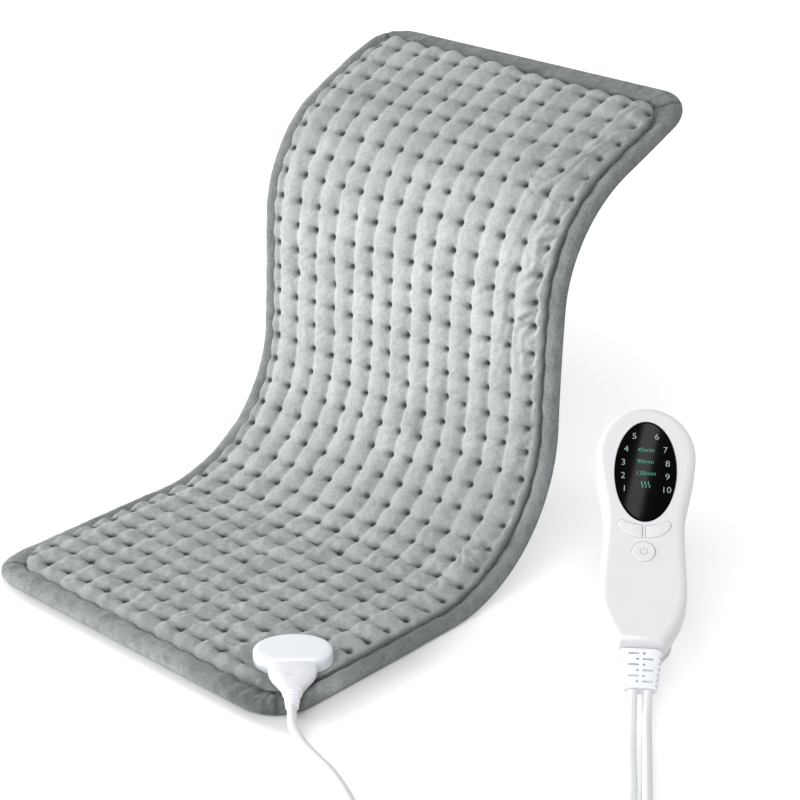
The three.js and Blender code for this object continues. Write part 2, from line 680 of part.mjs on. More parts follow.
// Plug: a flat funnel with a nose that enters the socket, three spring sleeves and a grooved strain relief
// A soft-cornered section across Y, its middle at height z
function softSection(width, height, y, z, power, count = 24) {
  return Array.from({ length: count }, (_, k) => {
    const angle = ((k + 0.5) / count) * 2 * Math.PI;
    const soft = (value) => Math.sign(value) * Math.abs(value) ** power;
    const up = (height / 2) * soft(Math.sin(angle));
    return new THREE.Vector3((width / 2) * soft(Math.cos(angle)), y, z + up);
  });
}
const acrossY = (p) => new THREE.Vector2(p.x, p.z);
const funnelStations = [0, 0.12, 0.3, 0.45, 0.6, 0.75, 0.88, 1];
const funnel = loft(funnelStations.map((share) => {
  const ease = 0.5 - 0.5 * Math.cos(Math.PI * Math.max(0, (share - 0.12) / 0.88) ** 1.15);
  const width = THREE.MathUtils.lerp(PLUG_WIDTH, PLUG_NECK, ease);
  const height = THREE.MathUtils.lerp(PLUG_HEIGHT, PLUG_HEIGHT - 0.8, ease);
  return softSection(width, height, plugBack - share * PLUG_LENGTH, PIN_HEIGHT, 0.6);
}), acrossY);
const noseTip = plugBack + NOSE_DEPTH;
const nose = box(-NOSE_HALF_WIDTH, NOSE_HALF_WIDTH, plugBack - 1, noseTip, noseLow, noseHigh);
const sleeveBore = PIN_DIA + 2 * CLEAR;
const sleeveDia = sleeveBore + 2 * CONTACT_WALL;
const sleeveBack = noseTip - CONTACT_LENGTH - CLEAR;
const sleeveRooms = pinAt.map((x) =>
  rodAlongY(x, PIN_HEIGHT, sleeveBack - CLEAR, noseTip + 1, sleeveDia + 2 * CLEAR));
addMesh(socketGroup, 'plug_body', cutAll(joinAll(funnel, nose), ...sleeveRooms), white);
pinAt.forEach((x, k) => {
  const sleeve = rodAlongY(x, PIN_HEIGHT, sleeveBack, noseTip - CLEAR, sleeveDia);
  const bore = rodAlongY(x, PIN_HEIGHT, sleeveBack - 1, noseTip + 1, sleeveBore);
  addMesh(socketGroup, `plug_contact_${k + 1}`, cutAll(sleeve, bore), brass);
});
// A tapered sleeve along -Y from the plug with ring grooves
function groovedRelief(y0, length, rootDia, tipDia, grooves, z) {
  const ringAt = (dia, y) => softSection(dia, dia * 0.85, y, z, 0.9, 14);
  const loops = [ringAt(rootDia, y0)];
  const pitch = (length - 4) / grooves;
  const at = (y) => THREE.MathUtils.lerp(rootDia, tipDia, (y0 - y) / length);
  for (let k = 0; k < grooves; k += 1) {
    const start = y0 - 2 - k * pitch;
    const steps = [[0, 0], [0.35, 1.4], [1.25, 1.4], [1.6, 0]];
    for (const [along, depth] of steps) {
      loops.push(ringAt(at(start - along) - depth, start - along));
    }
  }
  loops.push(ringAt(tipDia, y0 - length));
  return loft(loops, acrossY);
}
const plugReliefBack = plugFront - CLEAR;
const plugReliefTip = plugReliefBack - PLUG_RELIEF_LENGTH;
const plugRelief = groovedRelief(
  plugReliefBack, PLUG_RELIEF_LENGTH, PLUG_RELIEF_DIA, PLUG_RELIEF_TIP, 4, PIN_HEIGHT,
);
addMesh(socketGroup, 'plug_strain_relief', plugRelief, rubber);

// Controller: local X across, Y along from the lower end, Z out of the face; the shells part at Z = 0
const handset = new THREE.Group();
handset.rotation.set(HANDSET_TILT, 0, HANDSET_TURN, 'ZXY');
handset.position.copy(new THREE.Vector3(0, RELIEF_LENGTH, 0).applyEuler(handset.rotation).add(TIP));
pad.add(handset);

// Half the controller's width at y: two lobes with a neck between and a narrowed lower end
function halfWidth(y) {
  const swing = (from, to, share) => THREE.MathUtils.lerp(from, to, 0.5 - 0.5 * Math.cos(Math.PI * share));
  if (y < LOWER_AT) {
    return END_HALF + (LOWER_HALF - END_HALF) * Math.sin((Math.PI / 2) * (y / LOWER_AT));
  }
  if (y < NECK_AT) {
    return swing(LOWER_HALF, NECK_HALF, (y - LOWER_AT) / (NECK_AT - LOWER_AT));
  }
  return swing(NECK_HALF, UPPER_HALF, (y - NECK_AT) / (UPPER_AT - NECK_AT));
}
const LOWER_SHARES = [0, 0.12, 0.3, 0.6, 1];
const CROWN_STEPS = 7;
// The controller's outline set in by d
function handsetLoop(d, z) {
  const right = LOWER_SHARES.map((share) => d + (LOWER_AT - d) * share);
  right.push((LOWER_AT + NECK_AT) / 2, NECK_AT, (2 * NECK_AT + UPPER_AT) / 3, (NECK_AT + 2 * UPPER_AT) / 3);
  const side = right.map((y) => new THREE.Vector3(halfWidth(y) - d, y, z));
  for (let k = 0; k < CROWN_STEPS; k += 1) {
    const angle = (k / CROWN_STEPS) * (Math.PI / 2);
    const high = HANDSET_LENGTH - UPPER_AT - d;
    side.push(new THREE.Vector3((UPPER_HALF - d) * Math.cos(angle), UPPER_AT + high * Math.sin(angle), z));
  }
  const top = new THREE.Vector3(0, HANDSET_LENGTH - d, z);
  const left = side.map((p) => new THREE.Vector3(-p.x, p.y, z)).reverse();
  return [...side, top, ...left];
}
const ELLIPSE_POINTS = 40;
const displayLoop = (grow, z) => Array.from({ length: ELLIPSE_POINTS }, (_, k) => {
  const angle = (k / ELLIPSE_POINTS) * 2 * Math.PI;
  const x = (DISPLAY_HALF_WIDTH + grow) * Math.cos(angle);
  return new THREE.Vector3(x, DISPLAY_AT + (DISPLAY_HALF_LENGTH + grow) * Math.sin(angle), z);
});
// One of the two crescent buttons under the display, grown by g, between two heights
function wing(side, g, z0, z1) {
  const shape = new THREE.Shape();
  const inner = side * (WING_SPLIT - g);
  shape.moveTo(inner, WING_LOW - g);
  shape.lineTo(inner, WING_TOP - 3.7 + g);
  shape.quadraticCurveTo(side * 7, WING_TOP - 3.4 + g, side * (WING_OUTER - 3), WING_TOP + g);
  shape.quadraticCurveTo(side * (WING_OUTER + g), WING_TOP + g, side * (WING_OUTER + g), WING_TOP - 3.5);
  shape.quadraticCurveTo(side * (WING_OUTER - 4 + g), WING_LOW + 0.2 - g, inner, WING_LOW - g);
  return bareOf(new THREE.ExtrudeGeometry(shape, { depth: z1 - z0, bevelEnabled: false, curveSegments: 6 }))
    .translate(0, 0, z0);
}
const PARTING = CLEAR / 2;
const faceUnder = FRONT_DEPTH - SHELL_WALL;
const windowBottom = FRONT_DEPTH - WINDOW_THICK + 0.2;
const lowerScrews = 0.1714 * HANDSET_LENGTH;
const screwAt = [[0, HANDSET_LENGTH - 7], [-17, lowerScrews], [17, lowerScrews]];
const screwHole = SCREW_SHANK + 2 * CLEAR;
const headHole = SCREW_HEAD + 2 * CLEAR;
const NECK_ROOM = { x: 10, z: 4 };
const neckHole = box(
  -NECK_ROOM.x - CLEAR, NECK_ROOM.x + CLEAR, -1, SHELL_WALL + 3, -NECK_ROOM.z - CLEAR, NECK_ROOM.z + CLEAR,
);

// Front shell: hollow, with the display recess, three button holes and screw bosses
const frontOuter = loft([
  handsetLoop(0, PARTING),
  handsetLoop(0, FRONT_DEPTH - 5.5),
  handsetLoop(0.7, FRONT_DEPTH - 3),
  handsetLoop(2.2, FRONT_DEPTH - 1),
  handsetLoop(5, FRONT_DEPTH),
]);
const frontRoom = loft([
  handsetLoop(SHELL_WALL, -1),
  handsetLoop(SHELL_WALL, FRONT_DEPTH - 5.5),
  handsetLoop(SHELL_WALL + 2, faceUnder),
]);
const frontBosses = screwAt.map(([x, y]) => rod(x, y, 0.5, faceUnder + 0.5, screwHole + 3.4));
const frontTools = [
  loft([displayLoop(CLEAR, windowBottom - CLEAR), displayLoop(CLEAR, FRONT_DEPTH + 1)]),
  loft([displayLoop(-WINDOW_LEDGE, faceUnder - 1), displayLoop(-WINDOW_LEDGE, FRONT_DEPTH + 1)]),
  rod(0, POWER_BUTTON_AT, faceUnder - 1, FRONT_DEPTH + 1, POWER_BUTTON_DIA + 2 * CLEAR, 28),
  wing(-1, CLEAR, faceUnder - 1, FRONT_DEPTH + 1),
  wing(1, CLEAR, faceUnder - 1, FRONT_DEPTH + 1),
  neckHole,
  ...screwAt.map(([x, y]) => rod(x, y, -1, faceUnder - 1, screwHole)),
];
const frontBlank = joinAll(cutAll(frontOuter, frontRoom), ...frontBosses);
addMesh(handset, 'handset_front_shell', cutAll(frontBlank, ...frontTools), white);

// Rear shell: hollow, with board posts and sunk screw heads
const rearFloor = -REAR_DEPTH + SHELL_WALL;
const rearOuter = loft([
  handsetLoop(6, -REAR_DEPTH),
  handsetLoop(2.8, -REAR_DEPTH + 0.8),
  handsetLoop(0.8, -REAR_DEPTH + 3),
  handsetLoop(0, -REAR_DEPTH + 6),
  handsetLoop(0, -PARTING),
]);
const rearRoom = loft([
  handsetLoop(SHELL_WALL + 2.5, rearFloor),
  handsetLoop(SHELL_WALL + 0.6, rearFloor + 1.5),
  handsetLoop(SHELL_WALL, -REAR_DEPTH + 6),
  handsetLoop(SHELL_WALL, 1),
]);
const upperPosts = 0.737 * HANDSET_LENGTH;
const lowerPosts = 0.3086 * HANDSET_LENGTH;
const postAt = [[-20, upperPosts], [20, upperPosts], [-15, lowerPosts], [15, lowerPosts]];
const rearPosts = [
  ...postAt.map(([x, y]) => rod(x, y, rearFloor - 0.5, BOARD_HEIGHT - CLEAR, 4, 12)),
  ...screwAt.map(([x, y]) => rod(x, y, rearFloor - 0.5, -PARTING, headHole + 2)),
];
const headSeat = -REAR_DEPTH + SCREW_HEAD_THICK + 0.4;
const rearTools = [
  neckHole,
  ...screwAt.map(([x, y]) => rod(x, y, -REAR_DEPTH - 1, 1, screwHole)),
  ...screwAt.map(([x, y]) => rod(x, y, -REAR_DEPTH - 1, headSeat + CLEAR, headHole)),
];
const rearBlank = joinAll(cutAll(rearOuter, rearRoom), ...rearPosts);
addMesh(handset, 'handset_rear_shell', cutAll(rearBlank, ...rearTools), white);
screwAt.forEach(([x, y], k) => {
  const head = rod(x, y, headSeat - SCREW_HEAD_THICK, headSeat, SCREW_HEAD);
  const shank = rod(x, y, headSeat - 0.5, faceUnder - 1.5, SCREW_SHANK, 12);
  addMesh(handset, `handset_screw_${k + 1}`, joinAll(head, shank), steel);
});

// Display: a glossy oval window over a lamp module on the board
const windowTop = windowBottom + WINDOW_THICK;
const windowPane = loft([
  displayLoop(0, windowBottom),
  displayLoop(0, windowTop - 0.3),
  displayLoop(-0.5, windowTop),
]);
addMesh(handset, 'display_window', windowPane, black);
const boardTop = BOARD_HEIGHT + BOARD_THICK;
const moduleGrow = -WINDOW_LEDGE - CLEAR;
const lampModule = loft([
  displayLoop(moduleGrow, boardTop + CLEAR),
  displayLoop(moduleGrow, windowBottom - CLEAR),
]);
addMesh(handset, 'display_module', lampModule, dark);

// Main board with three switches and, underneath, a capacitor, a fuse and a power switch
const boardLow = 20;
const boardPlate = loft([handsetLoop(BOARD_INSET, BOARD_HEIGHT), handsetLoop(BOARD_INSET, boardTop)]);
const boardTools = [
  box(-UPPER_HALF, UPPER_HALF, -1, boardLow, -1, boardTop + 1),
  ...screwAt.map(([x, y]) => rod(x, y, -1, boardTop + 1, screwHole + 4.4)),
];
addMesh(handset, 'main_board', cutAll(boardPlate, ...boardTools), board);
const switchBase = boardTop + CLEAR;
const switchTop = switchBase + SWITCH_HEIGHT;
const wingMiddle = [8, (WING_TOP + WING_LOW) / 2 - 0.5];
const switchAt = [[0, POWER_BUTTON_AT], [-wingMiddle[0], wingMiddle[1]], [wingMiddle[0], wingMiddle[1]]];
switchAt.forEach(([x, y], k) => {
  const half = SWITCH_SIZE / 2;
  const body = box(x - half, x + half, y - half, y + half, switchBase, switchTop);
  const plunger = rod(x, y, switchTop - 0.5, switchTop + SWITCH_PLUNGER, 3.2, 12);
  addMesh(handset, `switch_${k + 1}`, joinAll(body, plunger), dark);
});
const underBoard = BOARD_HEIGHT - CLEAR;
const partsEnd = NECK_AT + 29;
const capacitor = box(-15, -4, partsEnd - 20, partsEnd, underBoard - 9.5, underBoard);
const switchChip = box(11, 16, partsEnd - 14, partsEnd, underBoard - 8.5, underBoard);
addMesh(handset, 'film_capacitor', capacitor, copper);
addMesh(handset, 'fuse', rodAlongY(6, underBoard - 2.6, partsEnd - 24, partsEnd - 4, 5.2, 12), copper);
addMesh(handset, 'power_switch_chip', switchChip, dark);
addMesh(handset, 'cord_clamp', box(-11, 11, 8, 14, rearFloor + CLEAR, -1), dark);

// Buttons: caps proud of the face, a flange behind it and a stem over the switch
const flangeTop = faceUnder - CLEAR - 0.1;
const flangeBottom = flangeTop - 0.6;
const stemBottom = switchTop + SWITCH_PLUNGER + BUTTON_TRAVEL + 0.1;
const buttonTop = FRONT_DEPTH + BUTTON_PROUD;
const powerCap = joinAll(
  rod(0, POWER_BUTTON_AT, flangeTop - 0.3, buttonTop, POWER_BUTTON_DIA, 28),
  rod(0, POWER_BUTTON_AT, flangeBottom, flangeTop, POWER_BUTTON_DIA + 2 * BUTTON_FLANGE, 28),
  rod(0, POWER_BUTTON_AT, stemBottom, flangeBottom + 0.3, 4, 12),
);
addMesh(handset, 'power_button', powerCap, white);
const wingCap = (side) => joinAll(
  wing(side, 0, flangeTop - 0.3, buttonTop),
  wing(side, BUTTON_FLANGE, flangeBottom, flangeTop),
  rod(side * wingMiddle[0], wingMiddle[1], stemBottom, flangeBottom + 0.3, 4, 12),
);
addMesh(handset, 'lower_button', wingCap(-1), white);
addMesh(handset, 'raise_button', wingCap(1), white);

// Strain relief of the controller: a flat ribbed tongue for two cords with a neck held between the shells
const reliefBody = loft([0, 0.3, 0.7, 1].map((share) => softSection(
  THREE.MathUtils.lerp(RELIEF_ROOT_WIDTH, RELIEF_TIP_WIDTH, share),
  THREE.MathUtils.lerp(RELIEF_THICK, RELIEF_TIP_THICK, share),
  -CLEAR - share * (RELIEF_LENGTH - CLEAR), 0, 0.6,
)), acrossY);
const neck = box(-NECK_ROOM.x, NECK_ROOM.x, -1, SHELL_WALL + 1.5, -NECK_ROOM.z, NECK_ROOM.z);
const collar = box(
  -NECK_ROOM.x - 1, NECK_ROOM.x + 1, SHELL_WALL + 0.6, SHELL_WALL + 2.4, -NECK_ROOM.z - 1, NECK_ROOM.z + 1,
);
const slots = [];
for (let row = 0; row < RELIEF_ROWS; row += 1) {
  const y = -4 - row * RELIEF_ROW_PITCH;
  const side = row % 2 === 0 ? -1 : 1;
  const [long0, long1] = [side * 1.2, side * 7.6].sort((a, b) => a - b);
  const [short0, short1] = [-side * 1.2, -side * 2.8].sort((a, b) => a - b);
  for (const face of [-1, 1]) {
    const [z0, z1] = [face * 2.4, face * RELIEF_THICK].sort((a, b) => a - b);
    slots.push(box(long0, long1, y - 0.7, y + 0.7, z0, z1), box(short0, short1, y - 0.7, y + 0.7, z0, z1));
  }
}
addMesh(handset, 'handset_strain_relief', cutAll(joinAll(reliefBody, neck, collar), ...slots), white);

// Cord frame: a runs from the relief's tip under the controller, b to its right
function fromTip(a, b, z) {
  const sin = Math.sin(HANDSET_TURN);
  const cos = Math.cos(HANDSET_TURN);
  return new THREE.Vector3(TIP.x - a * sin + b * cos, TIP.y + a * cos + b * sin, z);
}
const FLOOR_CORD = CORD_DIA / 2 + 0.1;
const FIRST_LAYER = CORD_DIA / 2 + TIE_THICK + 0.45;
const cordSide = CORD_SPACING / 2;
const tipGap = CLEAR * Math.cos(HANDSET_TILT);
const cordStart = (side) => fromTip(-tipGap, side * cordSide, TIP.z - CLEAR * Math.sin(HANDSET_TILT));

// The least clear distance between turns of a wound cord
function leastGap(points) {
  const fine = [];
  let length = 0;
  for (let k = 0; k + 1 < points.length; k += 1) {
    const step = points[k].distanceTo(points[k + 1]);
    for (let part = 0; part < 5; part += 1) {
      fine.push([points[k].clone().lerp(points[k + 1], part / 5), length + (step * part) / 5]);
    }
    length += step;
  }
  let least = Infinity;
  for (let i = 0; i < fine.length; i += 1) {
    for (let j = i + 1; j < fine.length; j += 1) {
      if (fine[j][1] - fine[i][1] > 4 * CORD_DIA) {
        least = Math.min(least, fine[i][0].distanceTo(fine[j][0]));
      }
    }
  }
  return least - CORD_DIA;
}

// Pad lead, wound into a coil: a spiral in and out in two layers
const LEAD_STRAIGHT = CORD_DIA + 1;
const coilAngle = COIL_TURNS * 2 * Math.PI;
const coilHalf = coilAngle / 2;
const coilRadius = (turned) =>
  COIL_RADIUS - (LAYER / (2 * Math.PI)) * (coilHalf - Math.abs(coilHalf - turned));
function coilPoint(turned) {
  const radius = coilRadius(turned);
  const climb = THREE.MathUtils.smoothstep(turned, coilHalf - Math.PI / 2, coilHalf + Math.PI / 2);
  const angle = COIL_START + turned;
  const a = COIL_CENTRE.x + radius * Math.sin(angle);
  const b = COIL_CENTRE.y + radius * Math.cos(angle);
  return [a, b, FIRST_LAYER + LAYER * climb];
}
const coilHeading = (turned) => [Math.cos(COIL_START + turned), -Math.sin(COIL_START + turned)];
const coilEnd = (turned, reach) => {
  const [a, b, z] = coilPoint(turned);
  const [da, db] = coilHeading(turned);
  return [a + da * reach, b + db * reach, z];
};
const coilSteps = Math.round(COIL_TURNS * LOOP_STEPS);
const coilPath = [fromTip(...coilEnd(0, -LEAD_STRAIGHT))];
for (let k = 0; k <= coilSteps; k += 1) {
  coilPath.push(fromTip(...coilPoint((k / coilSteps) * coilAngle)));
}
coilPath.push(fromTip(...coilEnd(coilAngle, LEAD_STRAIGHT)));
addMesh(pad, 'pad_lead_coil', tube(coilPath, CORD_DIA, LOOP_SIDES), rubber);
const coilTie = new THREE.Group();
const coilMiddle = fromTip(COIL_CENTRE.x, COIL_CENTRE.y, 0);
coilTie.position.copy(coilMiddle);
const tieTurned = Math.PI;
coilTie.rotation.z = HANDSET_TURN + COIL_START + tieTurned;
const tieInner = coilRadius(tieTurned + 2 * Math.PI);
const tieOuter = coilRadius(tieTurned);
const bandGap = 0.4;
// A flat band of rectangular outline round a bundle, lying across Y
function band(x0, x1, z0, z1) {
  const inner = box(x0, x1, -TIE_WIDTH, TIE_WIDTH, z0, z1);
  const half = TIE_WIDTH / 2;
  const outer = box(x0 - TIE_THICK, x1 + TIE_THICK, -half, half, z0 - TIE_THICK, z1 + TIE_THICK);
  return cutAll(outer, inner);
}
const tieLow = Math.min(tieInner, tieOuter) - CORD_DIA / 2 - bandGap;
const tieHigh = Math.max(tieInner, tieOuter) + CORD_DIA / 2 + bandGap;
const bundleLow = FIRST_LAYER - CORD_DIA / 2 - bandGap;
const coilTop = FIRST_LAYER + LAYER + CORD_DIA / 2;
addMesh(coilTie, 'coil_tie', band(tieLow, tieHigh, bundleLow, coilTop + bandGap), dark);
pad.add(coilTie);

// Pad lead, plug to coil
const leadStart = inSocket(0, plugReliefTip - CLEAR, PIN_HEIGHT);
const leadFrom = (x, y, z) => new THREE.Vector3(leadStart.x + x, leadStart.y + y, z);
const plugEndPath = [
  leadStart,
  leadFrom(5.5, -5.5, leadStart.z - 0.2),
  leadFrom(13, -11.8, leadStart.z - 2.4),
  leadFrom(24.5, -15.7, 6.6),
  leadFrom(39, -18.2, 3.4),
  leadFrom(54, -22.3, FLOOR_CORD),
  leadFrom(71, -29.5, FLOOR_CORD),
  leadFrom(86, -37.3, FLOOR_CORD),
  fromTip(...coilEnd(0, -LEAD_STRAIGHT - 24)).setZ(FLOOR_CORD + 0.2),
  fromTip(...coilEnd(0, -LEAD_STRAIGHT - 10)).setZ(FIRST_LAYER - 0.3),
  fromTip(...coilEnd(0, -LEAD_STRAIGHT - CLEAR)),
];
addMesh(pad, 'pad_lead_plug_end', sweptCord(plugEndPath, 16), rubber);

// Pad lead, coil to controller
const handEndPath = [
  fromTip(...coilEnd(coilAngle, LEAD_STRAIGHT + CLEAR)),
  fromTip(...coilEnd(coilAngle, LEAD_STRAIGHT + 9)),
  fromTip(-LEADS_PART - 68, -60, 6.8),
  fromTip(-LEADS_PART - 53.5, -34.3, FLOOR_CORD),
  fromTip(-LEADS_PART - 40, -18.4, FLOOR_CORD),
  fromTip(-LEADS_PART - 22, -8.1, FLOOR_CORD),
  fromTip(-LEADS_PART, -cordSide, FLOOR_CORD),
  fromTip(-LEADS_PART / 2, -cordSide, FLOOR_CORD),
  fromTip(-33, -cordSide, FLOOR_CORD + 0.6),
  fromTip(-24, -cordSide, 5.7),
  fromTip(-15, -cordSide, 9.4),
  fromTip(-7.6, -cordSide, 13.4),
  cordStart(-1),
];
addMesh(pad, 'pad_lead_hand_end', sweptCord(handEndPath, 18), rubber);

// Mains lead: out of the controller, round one loop and back beneath itself to the hank
const overCord = FLOOR_CORD + LAYER;
const LOOP_RADIUS = 4 * CORD_DIA;
const loopAt = [-LEADS_PART - 65, cordSide + LOOP_RADIUS];
const mainsPath = [
  cordStart(1),
  fromTip(-7.6, cordSide, 13.5),
  fromTip(-15, cordSide, overCord + 0.9),
  fromTip(-24, cordSide, overCord),
  fromTip(-LEADS_PART * 0.6, cordSide, overCord),
  fromTip(-LEADS_PART - 33, cordSide, overCord),
  fromTip(-LEADS_PART - 43, cordSide, overCord - 1.7),
  fromTip(-LEADS_PART - 54, cordSide, FLOOR_CORD + 1),
];
for (let k = 0; k <= 6; k += 1) {
  const angle = Math.PI + (k / 6) * 1.5 * Math.PI;
  const a = loopAt[0] + LOOP_RADIUS * Math.sin(angle);
  mainsPath.push(fromTip(a, loopAt[1] + LOOP_RADIUS * Math.cos(angle), FLOOR_CORD));
}
for (let k = 1; k <= 3; k += 1) {
  const angle = (k / 3) * (Math.PI / 2);
  const a = loopAt[0] + 2 * LOOP_RADIUS - LOOP_RADIUS * Math.cos(angle);
  mainsPath.push(fromTip(a, loopAt[1] - LOOP_RADIUS * Math.sin(angle), FLOOR_CORD));
}
const hankStart = HANK_MIDDLE - HANK_RUN / 2;
mainsPath.push(
  fromTip(-LEADS_PART * 0.7, cordSide, FLOOR_CORD),
  fromTip(-LEADS_PART * 0.2, cordSide, FLOOR_CORD),
  fromTip(10, cordSide, FLOOR_CORD),
  fromTip(34, cordSide, FLOOR_CORD),
  fromTip(48, cordSide + 1.6, FLOOR_CORD),
  fromTip(60, cordSide + 6.3, FLOOR_CORD + 0.4),
  fromTip(70, HANK_FOLD - 1.4, FIRST_LAYER - 0.2),
  fromTip(hankStart - LEAD_STRAIGHT - CLEAR - 6, HANK_FOLD, FIRST_LAYER),
  fromTip(hankStart - LEAD_STRAIGHT - CLEAR - 3, HANK_FOLD, FIRST_LAYER),
  fromTip(hankStart - LEAD_STRAIGHT - CLEAR, HANK_FOLD, FIRST_LAYER),
);
addMesh(pad, 'mains_lead', sweptCord(mainsPath, 54), rubber);

// Mains lead, folded into a hank drawn in at its tie
const runSteps = LOOP_STEPS / 4;
function hankSide(a) {
  const share = Math.abs(a - HANK_MIDDLE) / (HANK_RUN / 2);
  return HANK_WAIST + (HANK_FOLD - HANK_WAIST) * (0.5 - 0.5 * Math.cos(Math.PI * share));
}
const hankLayer = (layer) => FIRST_LAYER + LAYER * layer;
const hankPath = [fromTip(hankStart - LEAD_STRAIGHT, HANK_FOLD, hankLayer(0))];
for (let layer = 0; layer < HANK_LAYERS; layer += 1) {
  const lastLayer = layer === HANK_LAYERS - 1;
  for (let k = 0; k <= runSteps; k += 1) {
    const a = hankStart + (k / runSteps) * HANK_RUN;
    const climb = lastLayer ? THREE.MathUtils.smoothstep(k / runSteps, 0.5, 1) : 0;
    hankPath.push(fromTip(a, hankSide(a), hankLayer(layer + climb)));
  }
  if (!lastLayer) {
    for (let k = 1; k < runSteps; k += 1) {
      const angle = (k / runSteps) * Math.PI;
      const a = hankStart + HANK_RUN + HANK_FOLD * Math.sin(angle);
      hankPath.push(fromTip(a, HANK_FOLD * Math.cos(angle), hankLayer(layer)));
    }
    for (let k = 0; k <= runSteps; k += 1) {
      const a = hankStart + HANK_RUN * (1 - k / runSteps);
      const climb = THREE.MathUtils.smoothstep(k / runSteps, 0, 1);
      hankPath.push(fromTip(a, -hankSide(a), hankLayer(layer + climb)));
    }
    for (let k = 1; k < runSteps; k += 1) {
      const angle = (k / runSteps) * Math.PI;
      const a = hankStart - HANK_FOLD * Math.sin(angle);
      hankPath.push(fromTip(a, -HANK_FOLD * Math.cos(angle), hankLayer(layer + 1)));
    }
  }
}
hankPath.push(fromTip(hankStart + HANK_RUN + LEAD_STRAIGHT, HANK_FOLD, hankLayer(HANK_LAYERS)));
addMesh(pad, 'mains_lead_hank', tube(hankPath, CORD_DIA, LOOP_SIDES), rubber);
console.log('least gap, coil', leastGap(coilPath).toFixed(2), 'hank', leastGap(hankPath).toFixed(2));
const hankTie = new THREE.Group();
hankTie.position.copy(fromTip(HANK_MIDDLE, 0, 0));
hankTie.rotation.z = HANDSET_TURN;
const waistHalf = HANK_WAIST + CORD_DIA / 2 + 2 * bandGap;
const hankTop = hankLayer(HANK_LAYERS - 1) + CORD_DIA / 2;
addMesh(hankTie, 'hank_tie', band(-waistHalf, waistHalf, bundleLow, hankTop + 2 * bandGap), dark);
pad.add(hankTie);

// Mains plug, lying on the hank with its blades towards the controller's lower end
const mainsPlug = new THREE.Group();
const mainsAxis = hankTop + CLEAR + MAINS_PLUG_THICK / 2;
mainsPlug.position.copy(fromTip(MAINS_PLUG_BACK, MAINS_PLUG_SIDE, mainsAxis));
mainsPlug.rotation.z = HANDSET_TURN;
pad.add(mainsPlug);
const plugShape = [[0, 0.6], [0.12, 0.8], [0.35, 1], [0.94, 1], [1, 0.93]];
const plugSolid = loft(plugShape.map(([share, size]) => softSection(
  MAINS_PLUG_WIDTH * size, MAINS_PLUG_THICK * size, -share * MAINS_PLUG_LENGTH, 0, 0.5,
)), acrossY);
const bladeAt = [-BLADE_SPACING / 2, BLADE_SPACING / 2];
const bladeRoot = -MAINS_PLUG_LENGTH + 7;
const bladeTip = -MAINS_PLUG_LENGTH - BLADE_LENGTH;
const blade = (x, grow) => box(
  x - BLADE_THICK / 2 - grow, x + BLADE_THICK / 2 + grow, bladeTip, bladeRoot + grow,
  -BLADE_WIDTH / 2 - grow, BLADE_WIDTH / 2 + grow,
);
addMesh(mainsPlug, 'mains_plug_body', cutAll(plugSolid, ...bladeAt.map((x) => blade(x, CLEAR))), white);
bladeAt.forEach((x, k) => addMesh(mainsPlug, `mains_plug_blade_${k + 1}`, blade(x, 0), brass));
const mainsRelief = groovedRelief(-CLEAR, MAINS_RELIEF_LENGTH, MAINS_RELIEF_DIA, 8, 4, 0).rotateZ(Math.PI);
addMesh(mainsPlug, 'mains_plug_relief', mainsRelief, rubber);

// Mains lead, hank to plug
const tailStart = hankStart + HANK_RUN + LEAD_STRAIGHT + CLEAR;
const tailFold = tailStart + CORD_DIA;
const tailHeight = hankLayer(HANK_LAYERS);
const tailPath = [
  fromTip(tailStart, HANK_FOLD, tailHeight),
  fromTip(tailStart + CORD_DIA / 2, HANK_FOLD, tailHeight),
  fromTip(tailFold, HANK_FOLD, tailHeight),
];
for (let k = 1; k <= 4; k += 1) {
  const angle = (k / 4) * Math.PI;
  const a = tailFold + HANK_FOLD * Math.sin(angle);
  tailPath.push(fromTip(a, HANK_FOLD * Math.cos(angle), tailHeight + 0.4 * k));
}
const reliefEnd = MAINS_PLUG_BACK + CLEAR + MAINS_RELIEF_LENGTH + CLEAR;
tailPath.push(
  fromTip(tailFold - 13, -HANK_FOLD + 1.6, tailHeight + 3.4),
  fromTip(reliefEnd + 22, (MAINS_PLUG_SIDE - HANK_FOLD) / 2, mainsAxis - 2.6),
  fromTip(reliefEnd + 9, MAINS_PLUG_SIDE - 1, mainsAxis - 0.4),
  fromTip(reliefEnd, MAINS_PLUG_SIDE, mainsAxis),
);
addMesh(pad, 'mains_lead_tail', sweptCord(tailPath, 16), rubber);

export default pad;
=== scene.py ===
import bmesh
import bpy
import numpy as np
from mathutils import Matrix


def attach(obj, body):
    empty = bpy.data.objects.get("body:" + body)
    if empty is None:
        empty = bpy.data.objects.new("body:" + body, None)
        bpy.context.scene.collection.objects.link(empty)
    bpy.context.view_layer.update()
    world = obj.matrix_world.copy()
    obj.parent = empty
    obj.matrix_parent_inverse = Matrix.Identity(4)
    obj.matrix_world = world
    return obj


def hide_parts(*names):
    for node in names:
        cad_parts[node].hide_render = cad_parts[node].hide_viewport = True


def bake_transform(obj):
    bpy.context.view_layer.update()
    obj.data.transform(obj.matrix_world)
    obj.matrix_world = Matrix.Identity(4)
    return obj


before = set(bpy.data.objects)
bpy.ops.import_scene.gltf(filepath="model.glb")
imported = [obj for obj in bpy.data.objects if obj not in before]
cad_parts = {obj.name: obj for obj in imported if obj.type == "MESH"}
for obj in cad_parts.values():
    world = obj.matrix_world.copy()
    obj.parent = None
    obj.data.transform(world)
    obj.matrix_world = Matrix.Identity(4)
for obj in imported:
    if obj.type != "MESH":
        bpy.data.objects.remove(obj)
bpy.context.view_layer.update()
MM = 0.001
CAMERA_AT, CAMERA_WAY = np.array([979.4, -865.1, 727.4]), np.array([-0.6230, 0.6681, -0.4068])
